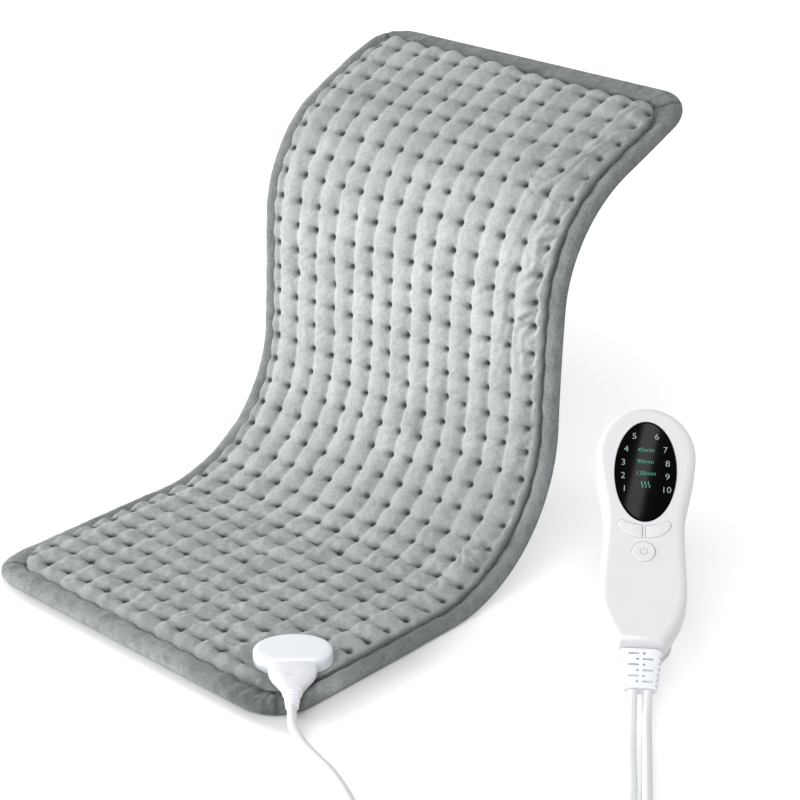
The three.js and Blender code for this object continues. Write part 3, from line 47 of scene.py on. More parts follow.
LENS, FILM_WIDTH, SIGHT_END = 99.0, 36.0, 50.0


def unit(vectors):
    """A vector, or each row of vectors, divided by its length."""
    return vectors / np.linalg.norm(vectors, axis=-1, keepdims=True)


def standing(across, over, facing, at=(0.0, 0.0, 0.0)):
    """The matrix of an object whose own x, y and z point across, over and facing, at a place in metres."""
    turn = np.eye(4)
    turn[:3, :3] = np.column_stack([across, over, facing])
    turn[:3, 3] = at
    return Matrix(turn.tolist())


ahead = unit(CAMERA_WAY)
rightward = unit(np.cross(ahead, [0.0, 0.0, 1.0]))
camera = bpy.data.objects.new("view", bpy.data.cameras.new("view"))
camera.data.lens, camera.data.sensor_width, camera.data.clip_end = LENS, FILM_WIDTH, SIGHT_END
camera.matrix_world = standing(rightward, np.cross(rightward, ahead), -ahead, CAMERA_AT * MM)
bpy.context.collection.objects.link(camera)
bpy.context.scene.camera = camera
bpy.context.scene.view_settings.view_transform = "Standard"


# Floor and light: a pale laminate table in an even white room, with soft lamps at the left, in front and
# above, and an overhead strip for the glint on the display. A camera, mirror or glass ray sees the floor a
# little brighter, so that it is white and keeps the shadow. Close to the pad's flat part this lift is less:
# a painted shadow, laid over the real contact shadow there.
def add(tree, kind, links=None, **settings):
    """One shader node; links gives its sockets a plain value, a node, or a node with an output's name."""
    made = tree.nodes.new(kind)
    for key, value in settings.items():
        setattr(made, key, value)
    for socket, value in (links or {}).items():
        if isinstance(value, bpy.types.Node):
            value = (value, 0)
        if isinstance(value, tuple) and isinstance(value[0], bpy.types.Node):
            tree.links.new(value[0].outputs[value[1]], made.inputs[socket])
        else:
            made.inputs[socket].default_value = value
    return made


def linear(hexcode):
    """An sRGB hex colour as linear light: a straight foot below 0.04045, a 2.4 power above it."""
    c = np.array([int(hexcode[k:k + 2], 16) for k in (0, 2, 4)]) / 255
    c = np.where(c <= 0.04045, c / 12.92, ((c + 0.055) / 1.055) ** 2.4)
    return (*c.tolist(), 1.0)


def empty_material(name):
    """A material with no nodes yet, and its node tree."""
    made = bpy.data.materials.new(name)
    made.use_nodes = True
    made.node_tree.nodes.clear()
    return made, made.node_tree


def seen_directly(tree):
    """1 for a camera, mirror or glass ray, else 0: the largest of the three flags."""
    path = add(tree, "ShaderNodeLightPath")
    seen = add(tree, "ShaderNodeMath", {0: (path, "Is Camera Ray"), 1: (path, "Is Glossy Ray")},
               operation="MAXIMUM")
    return add(tree, "ShaderNodeMath", {0: seen, 1: (path, "Is Transmission Ray")}, operation="MAXIMUM")


WHITE = (1.0, 1.0, 1.0, 1.0)
TABLE_HALF, TABLE_DOWN = 9.0, -0.0004
FLOOR_LIFT, ROOM_LIGHT = 0.44, 0.48
# The painted shadow on the floor close to the flat part: a box in metres, how far outside it the lift begins
# and is full, how much faster it comes along y, and where along y the lift comes back towards the bend
NEAR_MIDDLE, NEAR_HALF, NEAR_STRETCH = (0.0175, 0.0135, 0.0), (0.1025, 0.0865, 0.0), (1.0, 3.0, 0.0)
LIFT_START, LIFT_FULL = 0.024, 0.060
BACK_START, BACK_FULL = 0.035, 0.125

table_paint, tree = empty_material("white_table_laminate")
lit = add(tree, "ShaderNodeBsdfDiffuse", {"Color": linear("E4E4E4")})
coords = add(tree, "ShaderNodeTexCoord")
centred = add(tree, "ShaderNodeVectorMath", {0: (coords, "Object"), 1: NEAR_MIDDLE}, operation="SUBTRACT")
mirrored = add(tree, "ShaderNodeVectorMath", {0: centred}, operation="ABSOLUTE")
beyond = add(tree, "ShaderNodeVectorMath", {0: mirrored, 1: NEAR_HALF}, operation="SUBTRACT")
outside = add(tree, "ShaderNodeVectorMath", {0: beyond, 1: (0.0, 0.0, 0.0)}, operation="MAXIMUM")
stretched = add(tree, "ShaderNodeVectorMath", {0: outside, 1: NEAR_STRETCH}, operation="MULTIPLY")
apart = add(tree, "ShaderNodeVectorMath", {0: stretched}, operation="LENGTH")
axes = add(tree, "ShaderNodeSeparateXYZ", {0: (coords, "Object")})
close_lift = add(tree, "ShaderNodeMapRange", {
    0: (axes, "Y"), "From Min": BACK_START, "From Max": BACK_FULL, "To Min": 0.0, "To Max": FLOOR_LIFT})
floor_lift = add(tree, "ShaderNodeMapRange", {
    0: (apart, "Value"), "From Min": LIFT_START, "From Max": LIFT_FULL, "To Min": close_lift,
    "To Max": FLOOR_LIFT}, interpolation_type="SMOOTHSTEP")
shown_lift = add(tree, "ShaderNodeMath", {0: seen_directly(tree), 1: floor_lift}, operation="MULTIPLY")
glow = add(tree, "ShaderNodeEmission", {"Color": WHITE, "Strength": shown_lift})
add(tree, "ShaderNodeOutputMaterial", {"Surface": add(tree, "ShaderNodeAddShader", {0: lit, 1: glow})})

table_top = bpy.data.meshes.new("table")
table_top.from_pydata([(x * TABLE_HALF, y * TABLE_HALF, TABLE_DOWN)
                       for x, y in ((-1, -1), (1, -1), (1, 1), (-1, 1))], [], [(0, 1, 2, 3)])
table_top.materials.append(table_paint)
table = bpy.data.objects.new("table", table_top)
bpy.context.collection.objects.link(table)

world = bpy.data.worlds.new("white_room")
world.use_nodes = True
world.node_tree.nodes.clear()
tree = world.node_tree
bright = add(tree, "ShaderNodeMapRange", {0: seen_directly(tree), "To Min": ROOM_LIGHT, "To Max": 1.0})
room = add(tree, "ShaderNodeBackground", {"Color": WHITE, "Strength": bright})
add(tree, "ShaderNodeOutputWorld", {"Surface": room})
bpy.context.scene.world = world


def soft_lamp(name, toward, strength, spread):
    """A far lamp whose light comes from the direction toward, as wide in the sky as spread degrees."""
    toward = unit(np.array(toward))
    side = unit(np.cross([0.0, 0.0, 1.0], toward))
    made = bpy.data.objects.new(name, bpy.data.lights.new(name, "SUN"))
    made.data.energy, made.data.angle = strength, np.radians(spread)
    made.matrix_world = standing(side, np.cross(toward, side), toward)
    bpy.context.collection.objects.link(made)


soft_lamp("soft_lamp_left", (-0.80, -0.52, 0.10), strength=2.7, spread=14)
soft_lamp("soft_lamp_front", (0.25, -0.95, 0.22), strength=0.35, spread=50)
soft_lamp("soft_lamp_above", (0.30, -0.65, 0.75), strength=1.4, spread=40)

STRIP_SIZE, STRIP_POWER, STRIP_AT, STRIP_TURN = (0.024, 0.19), 0.3, (0.249, 0.212, 2.05), np.radians(27)
strip = bpy.data.objects.new("strip_lamp_overhead", bpy.data.lights.new("strip_lamp_overhead", "AREA"))
strip.data.shape, strip.data.energy = "RECTANGLE", STRIP_POWER
strip.data.size, strip.data.size_y = STRIP_SIZE
strip.matrix_world = Matrix.Translation(STRIP_AT) @ Matrix.Rotation(STRIP_TURN, 4, "Z")
bpy.context.collection.objects.link(strip)


# Back cover: plain short-pile plush on the underside, cut to the pad's outline, with its rim caught in the
# binding. The tufts' threads pass through it, so it is drawn in a little at each of them.
FLAT, LOWER_BEND, RISE_TURN = 162.0, 104.0, np.radians(87.5)
RISE, UPPER_BEND, TOP_TURN = 83.5, 101.0, np.radians(23.7)
PAD_HALF, PAD_LENGTH, PAD_CORNER, SEWN = 145.0, 600.0, 30.0, 8.0
WAIST, WAIST_RUN = 5.0, 408.0
COLUMNS, ROWS, COLUMN_PITCH, ROW_PITCH = 14, 31, 19.2, 18.0
tuft_across = (np.arange(COLUMNS) - (COLUMNS - 1) / 2) * COLUMN_PITCH
tuft_along = (PAD_LENGTH - (ROWS - 1) * ROW_PITCH) / 2 + np.arange(ROWS) * ROW_PITCH


def on_pad(w, s, h):
    """A point w across, s along and h above the table side of the bent pad: flat, an arc up, a straight
    rise, an arc back and a straight top by arc length, with the sides drawn in a little up the rise."""
    first = np.clip((s - FLAT) / LOWER_BEND, 0, RISE_TURN)
    past = s - FLAT - LOWER_BEND * RISE_TURN
    straight = np.clip(past, 0, RISE)
    second = np.clip((past - RISE) / UPPER_BEND, 0, RISE_TURN - TOP_TURN)
    last = np.maximum(past - RISE - UPPER_BEND * (RISE_TURN - TOP_TURN), 0)
    turn = first - second
    y = np.minimum(s, FLAT) - FLAT / 2 + LOWER_BEND * np.sin(first) + straight * np.cos(RISE_TURN)
    y += UPPER_BEND * (np.sin(RISE_TURN) - np.sin(RISE_TURN - second)) + last * np.cos(TOP_TURN)
    z = SEWN + LOWER_BEND * (1 - np.cos(first)) + straight * np.sin(RISE_TURN)
    z += UPPER_BEND * (np.cos(RISE_TURN - second) - np.cos(RISE_TURN)) + last * np.sin(TOP_TURN)
    narrowed = 1 - (WAIST / PAD_HALF) * np.sin(np.pi * np.clip((s - FLAT) / WAIST_RUN, 0, 1)) ** 2
    return np.stack([w * narrowed, y - np.sin(turn) * (h - SEWN), z + np.cos(turn) * (h - SEWN)], -1)


def inset_of(w, s):
    """How far a point of the flat pad lies inside its outline, a rectangle with round corners."""
    a = np.abs(w) - (PAD_HALF - PAD_CORNER)
    b = np.abs(s - PAD_LENGTH / 2) - (PAD_LENGTH / 2 - PAD_CORNER)
    outer = np.hypot(np.maximum(a, 0), np.maximum(b, 0)) + np.minimum(np.maximum(a, b), 0)
    return PAD_CORNER - outer


def pad_sheet(inset, step):
    """A grid over the pad's outline set in by inset; each corner square is drawn onto a quarter disc, where
    each side is shortened by the root of one less half the other's squared share."""
    half, end, corner = PAD_HALF - inset, PAD_LENGTH / 2 - inset, PAD_CORNER - inset
    across, lengthwise = (np.linspace(-reach, reach, int(2 * reach / step)) for reach in (half, end))
    w, s = np.meshgrid(across, lengthwise)
    a = np.maximum(np.abs(w) - half + corner, 0) / corner
    b = np.maximum(np.abs(s) - end + corner, 0) / corner
    w = np.sign(w) * (np.abs(w) - corner * a * (1 - np.sqrt(1 - b * b / 2)))
    s = np.sign(s) * (np.abs(s) - corner * b * (1 - np.sqrt(1 - a * a / 2)))
    return w, s + PAD_LENGTH / 2


def nearest_tuft(w, s):
    """The column and row of the stitched point nearest to each point of the pad."""
    i = np.clip(np.round((w - tuft_across[0]) / COLUMN_PITCH), 0, COLUMNS - 1).astype(int)
    j = np.clip(np.round((s - tuft_along[0]) / ROW_PITCH), 0, ROWS - 1).astype(int)
    return i, j


def bell(distance, width, power=2):
    """A bell curve: e to minus the distance's share of the width, raised to power."""
    return np.exp(-np.abs(distance / width) ** power)


def new_piece(name, points, faces, crease=40.0):
    """An object from points in mm and faces, smooth but for edges sharper than crease, turned to face out."""
    mesh = bpy.data.meshes.new(name)
    mesh.from_pydata((np.asarray(points).reshape(-1, 3) * MM).tolist(), [], faces)
    work = bmesh.new()
    work.from_mesh(mesh)
    bmesh.ops.recalc_face_normals(work, faces=work.faces)
    work.to_mesh(mesh)
    work.free()
    mesh.shade_smooth()
    mesh.set_sharp_from_angle(angle=np.radians(crease))
    made = bpy.data.objects.new(name, mesh)
    bpy.context.collection.objects.link(made)
    return made


def quads(index):
    """Four-sided faces between each four neighbours of a grid of point numbers."""
    corners = [index[..., :-1, :-1], index[..., :-1, 1:], index[..., 1:, 1:], index[..., 1:, :-1]]
    return np.stack(corners, -1).reshape(-1, 4).tolist()


def closed(index):
    """A grid of point numbers with its first column once more at the end."""
    return np.concatenate([index, index[..., :1]], -1)


def border_of(grid):
    """The outer points of a grid in order, once round."""
    return np.concatenate([grid[0, :-1], grid[:-1, -1], grid[-1, :0:-1], grid[:0:-1, 0]])


def closed_sheet(name, top, rings, crease=60.0):
    """A quilt-like solid: a grid on top, its border carried down through more rings, and a strip underneath
    between each pair of points that face each other across the last ring."""
    rows, cols = top.shape[:2]
    index = np.arange(rows * cols).reshape(rows, cols)
    border = border_of(index)
    size = len(border)
    loops = np.vstack([border, rows * cols + np.arange(len(rings) * size).reshape(-1, size)])
    faces = quads(index) + quads(closed(loops))
    low = loops[-1]
    right, left = low[cols - 1:cols + rows - 1], np.append(low[2 * cols + rows - 3:], low[0])[::-1]
    faces += quads(np.stack([left, right], -1))
    faces += [low[:cols].tolist(), low[cols + rows - 2:2 * cols + rows - 2].tolist()]
    return new_piece(name, np.vstack([top.reshape(-1, 3), np.vstack(rings)]), faces, crease)


def set_in(border, side, end, h):
    """A cover's border drawn in to side and end mm inside the pad's outline, at height h."""
    w = border[:, 0] * (PAD_HALF - side) / (PAD_HALF - COVER_INSET)
    s = (border[:, 1] - PAD_LENGTH / 2) * (PAD_LENGTH / 2 - end) / (PAD_LENGTH / 2 - COVER_INSET)
    return on_pad(w, PAD_LENGTH / 2 + s, np.full(len(border), h))


def paint(piece, attribute, values):
    """A number at each point of a piece for its material to read: the list's own, then 0 for what is left."""
    full = np.zeros(len(piece.data.vertices), np.float32)
    full[:values.size] = values.ravel()
    piece.data.attributes.new(attribute, "FLOAT", "POINT").data.foreach_set("value", full)


def noise(tree, coords, size_mm, **settings):
    """Noise in an object's own space, with clouds about size_mm wide."""
    return add(tree, "ShaderNodeTexNoise", {
        "Vector": (coords, "Object"), "Scale": 1 / (size_mm * MM), **settings})


def plush(name, pale, shade, dark_shade_colour, pile_mm):
    """Polyester plush, sheared short: dull, with a soft sheen at glancing angles from the fibre tips, fine
    grain from the pile, and blotches where the pile lies another way. Shade is painted on it by two
    attributes:
    one multiplies the cloth towards a dim grey tint, the other mixes it towards the dark colour."""
    clump_mm, blotch_mm, dim_shade_tint = 2.2 * pile_mm, 14, linear("CACBCC")
    made, tree = empty_material(name)
    coords = add(tree, "ShaderNodeTexCoord")
    pile = noise(tree, coords, pile_mm, Detail=3.0, Roughness=0.65)
    clump = noise(tree, coords, clump_mm, Detail=2.0, Roughness=0.6)
    blotch = noise(tree, coords, blotch_mm, Detail=4.0, Roughness=0.6)
    tips = add(tree, "ShaderNodeMath", {0: pile, 1: clump}, operation="ADD")
    grain = add(tree, "ShaderNodeMath", {0: tips, 1: blotch}, operation="ADD")
    paleness = add(tree, "ShaderNodeMapRange", {0: grain, "From Min": 1.15, "From Max": 1.85})
    cloth = add(tree, "ShaderNodeMix", {0: paleness, 6: linear(shade), 7: linear(pale)}, data_type="RGBA")
    # Painted shade: a dim grey tint by one attribute, and a dark colour by the other
    painted_dim_shade = add(tree, "ShaderNodeAttribute", attribute_name="painted_dim_shade")
    dimmed_cloth = add(tree, "ShaderNodeMix", {0: (painted_dim_shade, "Fac"), 6: (cloth, 2), 7: dim_shade_tint},
                  data_type="RGBA", blend_type="MULTIPLY")
    painted_dark_shade = add(tree, "ShaderNodeAttribute", attribute_name="painted_dark_shade")
    colour = add(tree, "ShaderNodeMix", {0: (painted_dark_shade, "Fac"), 6: (dimmed_cloth, 2), 7: linear(dark_shade_colour)},
                 data_type="RGBA")
    bump = add(tree, "ShaderNodeBump", {"Height": tips, "Strength": 0.7, "Distance": 0.8 * MM})
    shader = add(tree, "ShaderNodeBsdfPrincipled", {
        "Base Color": (colour, 2), "Roughness": 0.92, "Specular IOR Level": 0.15, "Sheen Weight": 0.25,
        "Sheen Roughness": 0.45, "Normal": bump})
    add(tree, "ShaderNodeOutputMaterial", {"Surface": shader})
    return made


# Pile drawn at 1.1 mm, coarser than the real half millimetre, so that it shows
silver_plush = plush("silver_grey_polyester_plush", "D0D4D1", "B4B8B5", "424745", pile_mm=1.1)
COVER_INSET, BACK_STEP, BACK_TOP = 1.8, 3.0, 1.9
RIM_UP, RIM_IN, RIM_RUN = 1.5, 13.6, 2.0
DRAWN_UP, DRAWN_REACH, SEWN_INSET = 0.7, 3.2, 15.0
w, s = pad_sheet(COVER_INSET, BACK_STEP)
i, j = nearest_tuft(w, s)
drawn = bell(np.hypot(w - tuft_across[i], s - tuft_along[j]), DRAWN_REACH) * (inset_of(w, s) > SEWN_INSET)
rim = RIM_UP * np.clip((RIM_IN - inset_of(w, s)) / RIM_RUN, 0, 1)
border = border_of(np.stack([w, s], -1))
back_cover = closed_sheet("back_cover_plush", on_pad(w, s, np.maximum(DRAWN_UP * drawn, rim)),
                          [set_in(border, COVER_INSET, COVER_INSET, BACK_TOP)])
# Painted shade: darker in each drawn-in dimple
paint(back_cover, "painted_dark_shade", 0.35 * drawn)
back_cover.data.materials.append(silver_plush)
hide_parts("back_cover")
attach(back_cover, "pad")


# Front cover: the same plush over a thin filling, drawn down by a sewn tuft at every point of a grid.
# It stands up in soft ridges between the columns, creases at the tufts, bunches into tucks beside the right
# seam, and lies flat under socket and plug.
def ease(t):
    """0 below 0, 1 above 1, and between them three times the square less twice the cube."""
    t = np.clip(t, 0, 1)
    return t ** 2 * (3 - 2 * t)


def fade_in(value, start, run):
    """0 up to start, rising smoothly to 1 at run further on."""
    return ease((value - start) / run)


def fade_out(value, end, run):
    """1 until run before end, falling smoothly to 0 there."""
    return ease((end - value) / run)


def ripple(x, y, size, seed):
    """A soft random swell about size mm long: two dozen plane waves of random direction and phase, added."""
    chance = np.random.default_rng(seed)
    waves = 24
    turn, phase = chance.uniform(0, 2 * np.pi, (2, waves))
    number = 2 * np.pi / (size * chance.uniform(0.7, 1.6, waves))
    total = sum(np.sin(k * (np.cos(t) * x + np.sin(t) * y) + p) for k, t, p in zip(number, turn, phase))
    return total / np.sqrt(waves)


FRONT_STEP, STRAY = 1.2, 0.6
chance = np.random.default_rng(11)
w, s = pad_sheet(COVER_INSET, FRONT_STEP)
i, j = nearest_tuft(w, s)
stray_x, stray_y = chance.normal(0, STRAY, (2, COLUMNS, ROWS))[:, i, j]
dx, dy = w - tuft_across[i] - stray_x, s - tuft_along[j] - stray_y
tilt, curl, leftward, sideward, spokes, pulled = chance.normal(0, 1, (6, COLUMNS, ROWS))[:, i, j]
tight = 1 + 0.22 * np.clip(pulled, -1.5, 1.5)

# Where along the pad the cover lies, bends, stands or goes over the top
laid, topped, bent = fade_out(s, 255, 95), fade_in(s, 400, 90), fade_out(s, 350, 90)
upright = 1 - np.maximum(laid, 0.8 * topped)
puffed = np.maximum(1 - upright, 0.75 * bent)

# Ridges between the columns, steep on one side, and round puffs between the tufts where the pad lies
CROWN, RIDGE_UP, RIDGE_LESS, RIDGE_SHIFT, RIDGE_TOP = 11.0, 2.3, 0.8, 1.9, 0.79
PUFF_UP, PUFF_SHIFT = 1.15, 0.9
sway = w - 0.5 * ripple(s, w * 0.3, 34, 3) - tuft_across[0] - RIDGE_SHIFT
over_ridge = (sway / COLUMN_PITCH) % 1
ridge = (1 - (1 - over_ridge) ** 6) * (1 - over_ridge ** 1.9) / RIDGE_TOP
puff = np.abs(np.sin(np.pi * (sway + PUFF_SHIFT) / COLUMN_PITCH)
              * np.sin(np.pi * (s - tuft_along[0]) / ROW_PITCH)) ** 0.7
quilt = CROWN + (RIDGE_UP - RIDGE_LESS * puffed) * ridge + PUFF_UP * puffed * puff
quilt += 0.5 * ripple(w, s, 30, 5) + 0.2 * ripple(w, s, 6.5, 6) + 0.4 * laid * ripple(w, s, 9, 7)

# Each tuft: a shallow valley along its row, a hollow beside it, and the sewn point itself
TUFT_DEEP, HOLLOW_DEEP, VALLEY_DEEP = 3.0, 1.0, 0.1
quilt -= (VALLEY_DEEP + 0.35 * puffed + 0.2 * bent) * bell(dy, 4.2) * ridge
quilt -= (HOLLOW_DEEP + 0.3 * laid) * tight * bell(dx + 2.4, 4.6) * bell(dy, 4.4)
quilt -= TUFT_DEEP * tight ** 0.5 * bell(np.hypot(dx / 1.9, dy / 2.4), 1, 2.2)

# Gathers from one tuft to the next in a column, bowed to one side
GATHER_DEEP = 0.7
row_below = np.clip(np.floor((s - tuft_along[0]) / ROW_PITCH), 0, ROWS - 2).astype(int)
between_rows = np.clip((s - tuft_along[row_below]) / ROW_PITCH, 0, 1)
bow, taut = chance.normal(0, 1, (2, COLUMNS, ROWS))[:, i, row_below]
off_gather = w - tuft_across[i] + (1.2 + 1.3 * bow) * np.sin(np.pi * between_rows)
gather = fade_in(taut, 0.35, 1) * bell(off_gather, 1.0) * (0.35 + 0.65 * np.abs(np.cos(np.pi * between_rows)))
quilt -= GATHER_DEEP * (1 - 0.6 * laid) * gather

# Creases that run out of a tuft to either side, slanting ones where the pad lies, and small folds around it
SLANT_DEEP, FOLD_UP, FOLDS, FOLD_AT = 0.45, 0.16, 5, 4.2
off_crease = dy - (0.1 + 0.25 * laid + 0.25 * tilt) * dx - 0.02 * curl * dx * dx
crease = np.where(dx < 0, np.abs(leftward), 0.5 * np.abs(sideward)) - 0.3
crease = crease.clip(0, 1.5) * (0.5 + 0.6 * bent)
quilt -= crease * bell(off_crease, 1.0) * bell(dx + 1, 6.5, 1.7)
slant = laid * bell(dy - 0.75 * dx, 1.5 + 0.3 * tilt) * bell(dx + 3.2 + leftward, 3.2)
quilt -= SLANT_DEEP * slant
quilt += FOLD_UP * np.cos(FOLDS * np.arctan2(dy, dx) + 3 * spokes) * bell(np.hypot(dx, dy) - FOLD_AT, 2.0)

# Wrinkles beside both long seams, most on the right, and gathers on the right of the upper half
SEAM_WRINKLES_AT, WRINKLE_LONG, UPPER_GATHER_UP, UPPER_GATHER_LONG = 128, 11, 0.75, 8.5
right_wrinkles = 0.45 + 0.5 * fade_in(s, 330, 60) + 0.6 * bell(s - 235, 35)
wrinkles = bell(np.abs(w) - SEAM_WRINKLES_AT, 9) * ripple(s - 0.8 * np.abs(w), w, WRINKLE_LONG, 8)
quilt += np.where(w > 0, right_wrinkles, 0.2) * wrinkles
upper_gathers = np.cos(2 * np.pi * (w - 0.2 * (s - 500)) / UPPER_GATHER_LONG + 3.0 * ripple(s, w, 30, 10))
quilt += UPPER_GATHER_UP * fade_in(w, 88, 30) * fade_in(s, 330, 60) * upper_gathers

# Tucks, each with its place across and along, its turn in degrees and half its length
TUCKS = ((121, 219, -18, 12), (113, 214, -55, 8), (128, 222, -60, 9), (104, 246, -25, 8), (95, 490, -10, 9),
         (95, 480, -22, 9), (106, 486, 60, 7), (114, 478, -20, 8), (92, 506, 30, 10), (122, 452, 35, 8),
         (116, 398, 40, 7))
TUCK_UP, TUCK_FOLD_AT = 0.9, 2.7
tucked = 0 * w
for tuck_w, tuck_s, tuck_turn, tuck_half in TUCKS:
    cosine, sine = np.cos(np.radians(tuck_turn)), np.sin(np.radians(tuck_turn))
    along_tuck = (w - tuck_w) * cosine + (s - tuck_s) * sine
    beside_tuck = (s - tuck_s) * cosine - (w - tuck_w) * sine
    quilt += TUCK_UP * bell(along_tuck, tuck_half, 4) * bell(beside_tuck, 1.9)
    tucked += bell(along_tuck, tuck_half, 4) * bell(beside_tuck + TUCK_FOLD_AT, 1.3)
quilt -= TUCK_UP * tucked


def tape_width(w, s):
    """How far the tape reaches in from the edge: more at the two ends, and in waves of a cosine that leave
    room for each puff between two tufts."""
    side, front_more, top_more = 12.2, 5.0, 5.0
    at_end = np.abs(s - PAD_LENGTH / 2) - PAD_LENGTH / 2 > np.abs(w) - PAD_HALF
    turns = np.where(at_end, (w - tuft_across[0]) / COLUMN_PITCH, (s - tuft_along[0]) / ROW_PITCH)
    wave = np.where(at_end, 0.9, 0.3) * np.cos(2 * np.pi * turns)
    return side + front_more * fade_out(s, 40, 25) + (top_more + w / 100) * fade_in(s, 556, 25) + wave


# The cover comes down to the seam beside the tape, goes flat under it, and is pressed under socket and plug
FRONT_DOWN, SEAM_GAP, SEAM_UP, UNDER_TAPE, LEAST_UP, PRESSED_UP = 2.2, 0.3, 4.0, 3.9, 6.7, 6.9
SOCKET_AT, SOCKET_UP, DIAGONAL = np.array([105.473, -27.331]), 7.6, np.sqrt(0.5)
quilt -= FRONT_DOWN * fade_out(s, 27, 9)
edge = np.maximum(inset_of(w, s) - tape_width(w, s) - SEAM_GAP, 0)
roundness = 1.4 + 2.2 * fade_in(s, 40, 40) * (w > 0)
quilt = np.where(edge > 0, SEAM_UP + (quilt - SEAM_UP) * (1 - bell(edge, roundness, 1)), UNDER_TAPE)
quilt = np.where(edge > 5, np.maximum(quilt, LEAST_UP), quilt)
from_socket_w, from_socket_s = w - SOCKET_AT[0], s - FLAT / 2 - SOCKET_AT[1]
socket_x, socket_y = (from_socket_s + from_socket_w) * DIAGONAL, (from_socket_s - from_socket_w) * DIAGONAL
under_socket = fade_out(np.hypot(socket_x / 26.5, socket_y / 19.5), 1.3, 0.26)
under_plug = fade_out(np.abs(socket_x), 21.5, 4.5) * fade_out(socket_y, -9, 5)
pressed = np.maximum(under_socket, under_plug)
quilt = np.where(quilt > PRESSED_UP, quilt + (PRESSED_UP - quilt) * pressed, quilt)

FRONT_LOW, FRONT_UNDER = 2.6, 6.3
border = border_of(np.stack([w, s], -1))
rings = [set_in(border, COVER_INSET, COVER_INSET, FRONT_LOW), set_in(border, 12.4, 12.4, FRONT_LOW),
         set_in(border, 20.2, 30, FRONT_UNDER)]
front_cover = closed_sheet("front_cover_quilt", on_pad(w, s, quilt), rings)

# Painted shade, mixed towards the dark colour: in the sewn points, their hollows, creases, tucks and the
# seam, and at the front right
front_right, right_seam = fade_in(w, 60, 70) * fade_out(s, 75, 55), fade_in(w, 100, 30)
cover_dark_shade = bell(np.hypot((dx + 0.3) / (1.75 + 0.4 * laid), dy / (2.15 + 0.4 * laid)), 1, 3.2)
cover_dark_shade += 0.2 * (1 - 0.5 * laid) * gather + 0.42 * slant
cover_dark_shade += (0.32 + 0.1 * laid) * tight * bell(dx + 2.9, 3.1) * bell(dy + 0.3 + 1.6 * laid, 2.6 + 0.6 * laid)
cover_dark_shade += 0.3 * (crease > 0.15) * bell(off_crease, 0.9) * bell(dx, 4.5, 1)
cover_dark_shade = cover_dark_shade * (1 - pressed) + (0.2 + 0.6 * front_right) * bell(edge, 1.6, 1) + 0.22 * front_right
cover_dark_shade += 0.85 * right_seam * bell(edge, 2.1) + 0.3 * tucked
paint(front_cover, "painted_dark_shade", cover_dark_shade.clip(0, 1))

# Painted shade, dimming the cloth where the pad lies flat, over the top, at the front right and on one side
# of each ridge
cover_dim_shade = 0.6 * fade_out(s, 355, 170) + 0.82 * fade_in(s, 390, 130) + 0.35 * fade_out(s, 30, 12)
cover_dim_shade += 0.4 * fade_in(w, -20, 150) * fade_out(s, 420, 130) * (0.3 + 0.7 * fade_in(s, 130, 120))
cover_dim_shade += upright * (0.1 + 0.45 * fade_in(over_ridge, 0.4, 0.5))
# The faint random ripple in it is the cloth's own uneven tone
cover_dim_shade += 0.7 * front_right + 0.1 * ripple(w, s, 45, 9)
cover_dim_shade += 0.06 * bell(s - 285, 45) + 0.22 * fade_in(w, 20, 110) * fade_in(s, 430, 80)
paint(front_cover, "painted_dim_shade", cover_dim_shade.clip(0, 1))
front_cover.data.materials.append(silver_plush)
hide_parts("front_cover")
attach(front_cover, "pad")


# Binding: a folded polyester tape round the whole edge, sewn through both covers near its inner edge.
# It puckers a little along the seam and is folded on the diagonal at the corners.
def edge_path(count):
    """Points round the pad's outline evenly by length, their distance along it, the way inward at each, and
    how far the nearest corner is: four quarter arcs joined by straight sides, read off at equal steps."""
    turn = np.radians(np.arange(0, 90.1, 5))
    angle = np.concatenate([turn - np.pi / 2, turn, turn + np.pi / 2, turn + np.pi])
    corners = np.array([[1, -1], [1, 1], [-1, 1], [-1, -1]]) * [PAD_HALF, PAD_LENGTH / 2]
    corners = corners - np.sign(corners) * PAD_CORNER
    out = np.stack([np.cos(angle), np.sin(angle)], -1)
    outline = np.repeat(corners, len(turn), 0) + PAD_CORNER * out
    outline, out = np.vstack([outline, outline[:1]]), np.vstack([out, out[:1]])
    far = np.append(0, np.cumsum(np.linalg.norm(np.diff(outline, axis=0), axis=1)))
    at = np.linspace(0, far[-1], count, endpoint=False)
    x, y, out_x, out_y = (np.interp(at, far, column) for column in (*outline.T, *out.T))
    corner_at = far[len(turn) // 2::len(turn)][:4]
    corner = np.min(np.abs(at[:, None] - corner_at), axis=1)
    return at, np.stack([x, y + PAD_LENGTH / 2], -1), -np.stack([out_x, out_y], -1), corner


# The folded tape's section, as its reach in from the edge and its height, once round
TAPE_SECTION = np.array([
    [12.0, 4.75], [12.1, 5.3], [11.4, 5.9], [10.0, 6.5], [8.0, 7.0], [6.0, 7.2], [4.0, 7.0], [2.4, 6.4],
    [1.1, 5.2], [0.25, 4.2], [0.0, 3.1], [0.25, 1.9], [0.9, 0.9], [2.0, 0.25], [4.0, 0.0], [8.0, 0.0],
    [11.4, 0.0], [12.0, 0.4], [12.0, 1.2], [8.0, 1.3], [3.0, 1.35], [1.6, 2.0], [1.5, 3.1], [1.6, 4.1],
    [3.0, 4.7], [8.0, 4.72]])
TAPE, FOLD_FROM, FOLD_RUN, TOP_FROM, INNER_FROM = 12.0, 3.1, 3.0, 4.5, 9.0
reach, up = TAPE_SECTION.T
at, spots, inward, corner = edge_path(1100)
(spot_w, spot_s), (in_w, in_s), corner = spots.T[:, :, None], inward.T[:, :, None], corner[:, None]


def round_edge(size, seed):
    """A ripple along the edge, the same all the way across the tape."""
    return ripple(at, 0 * at, size, seed)[:, None]


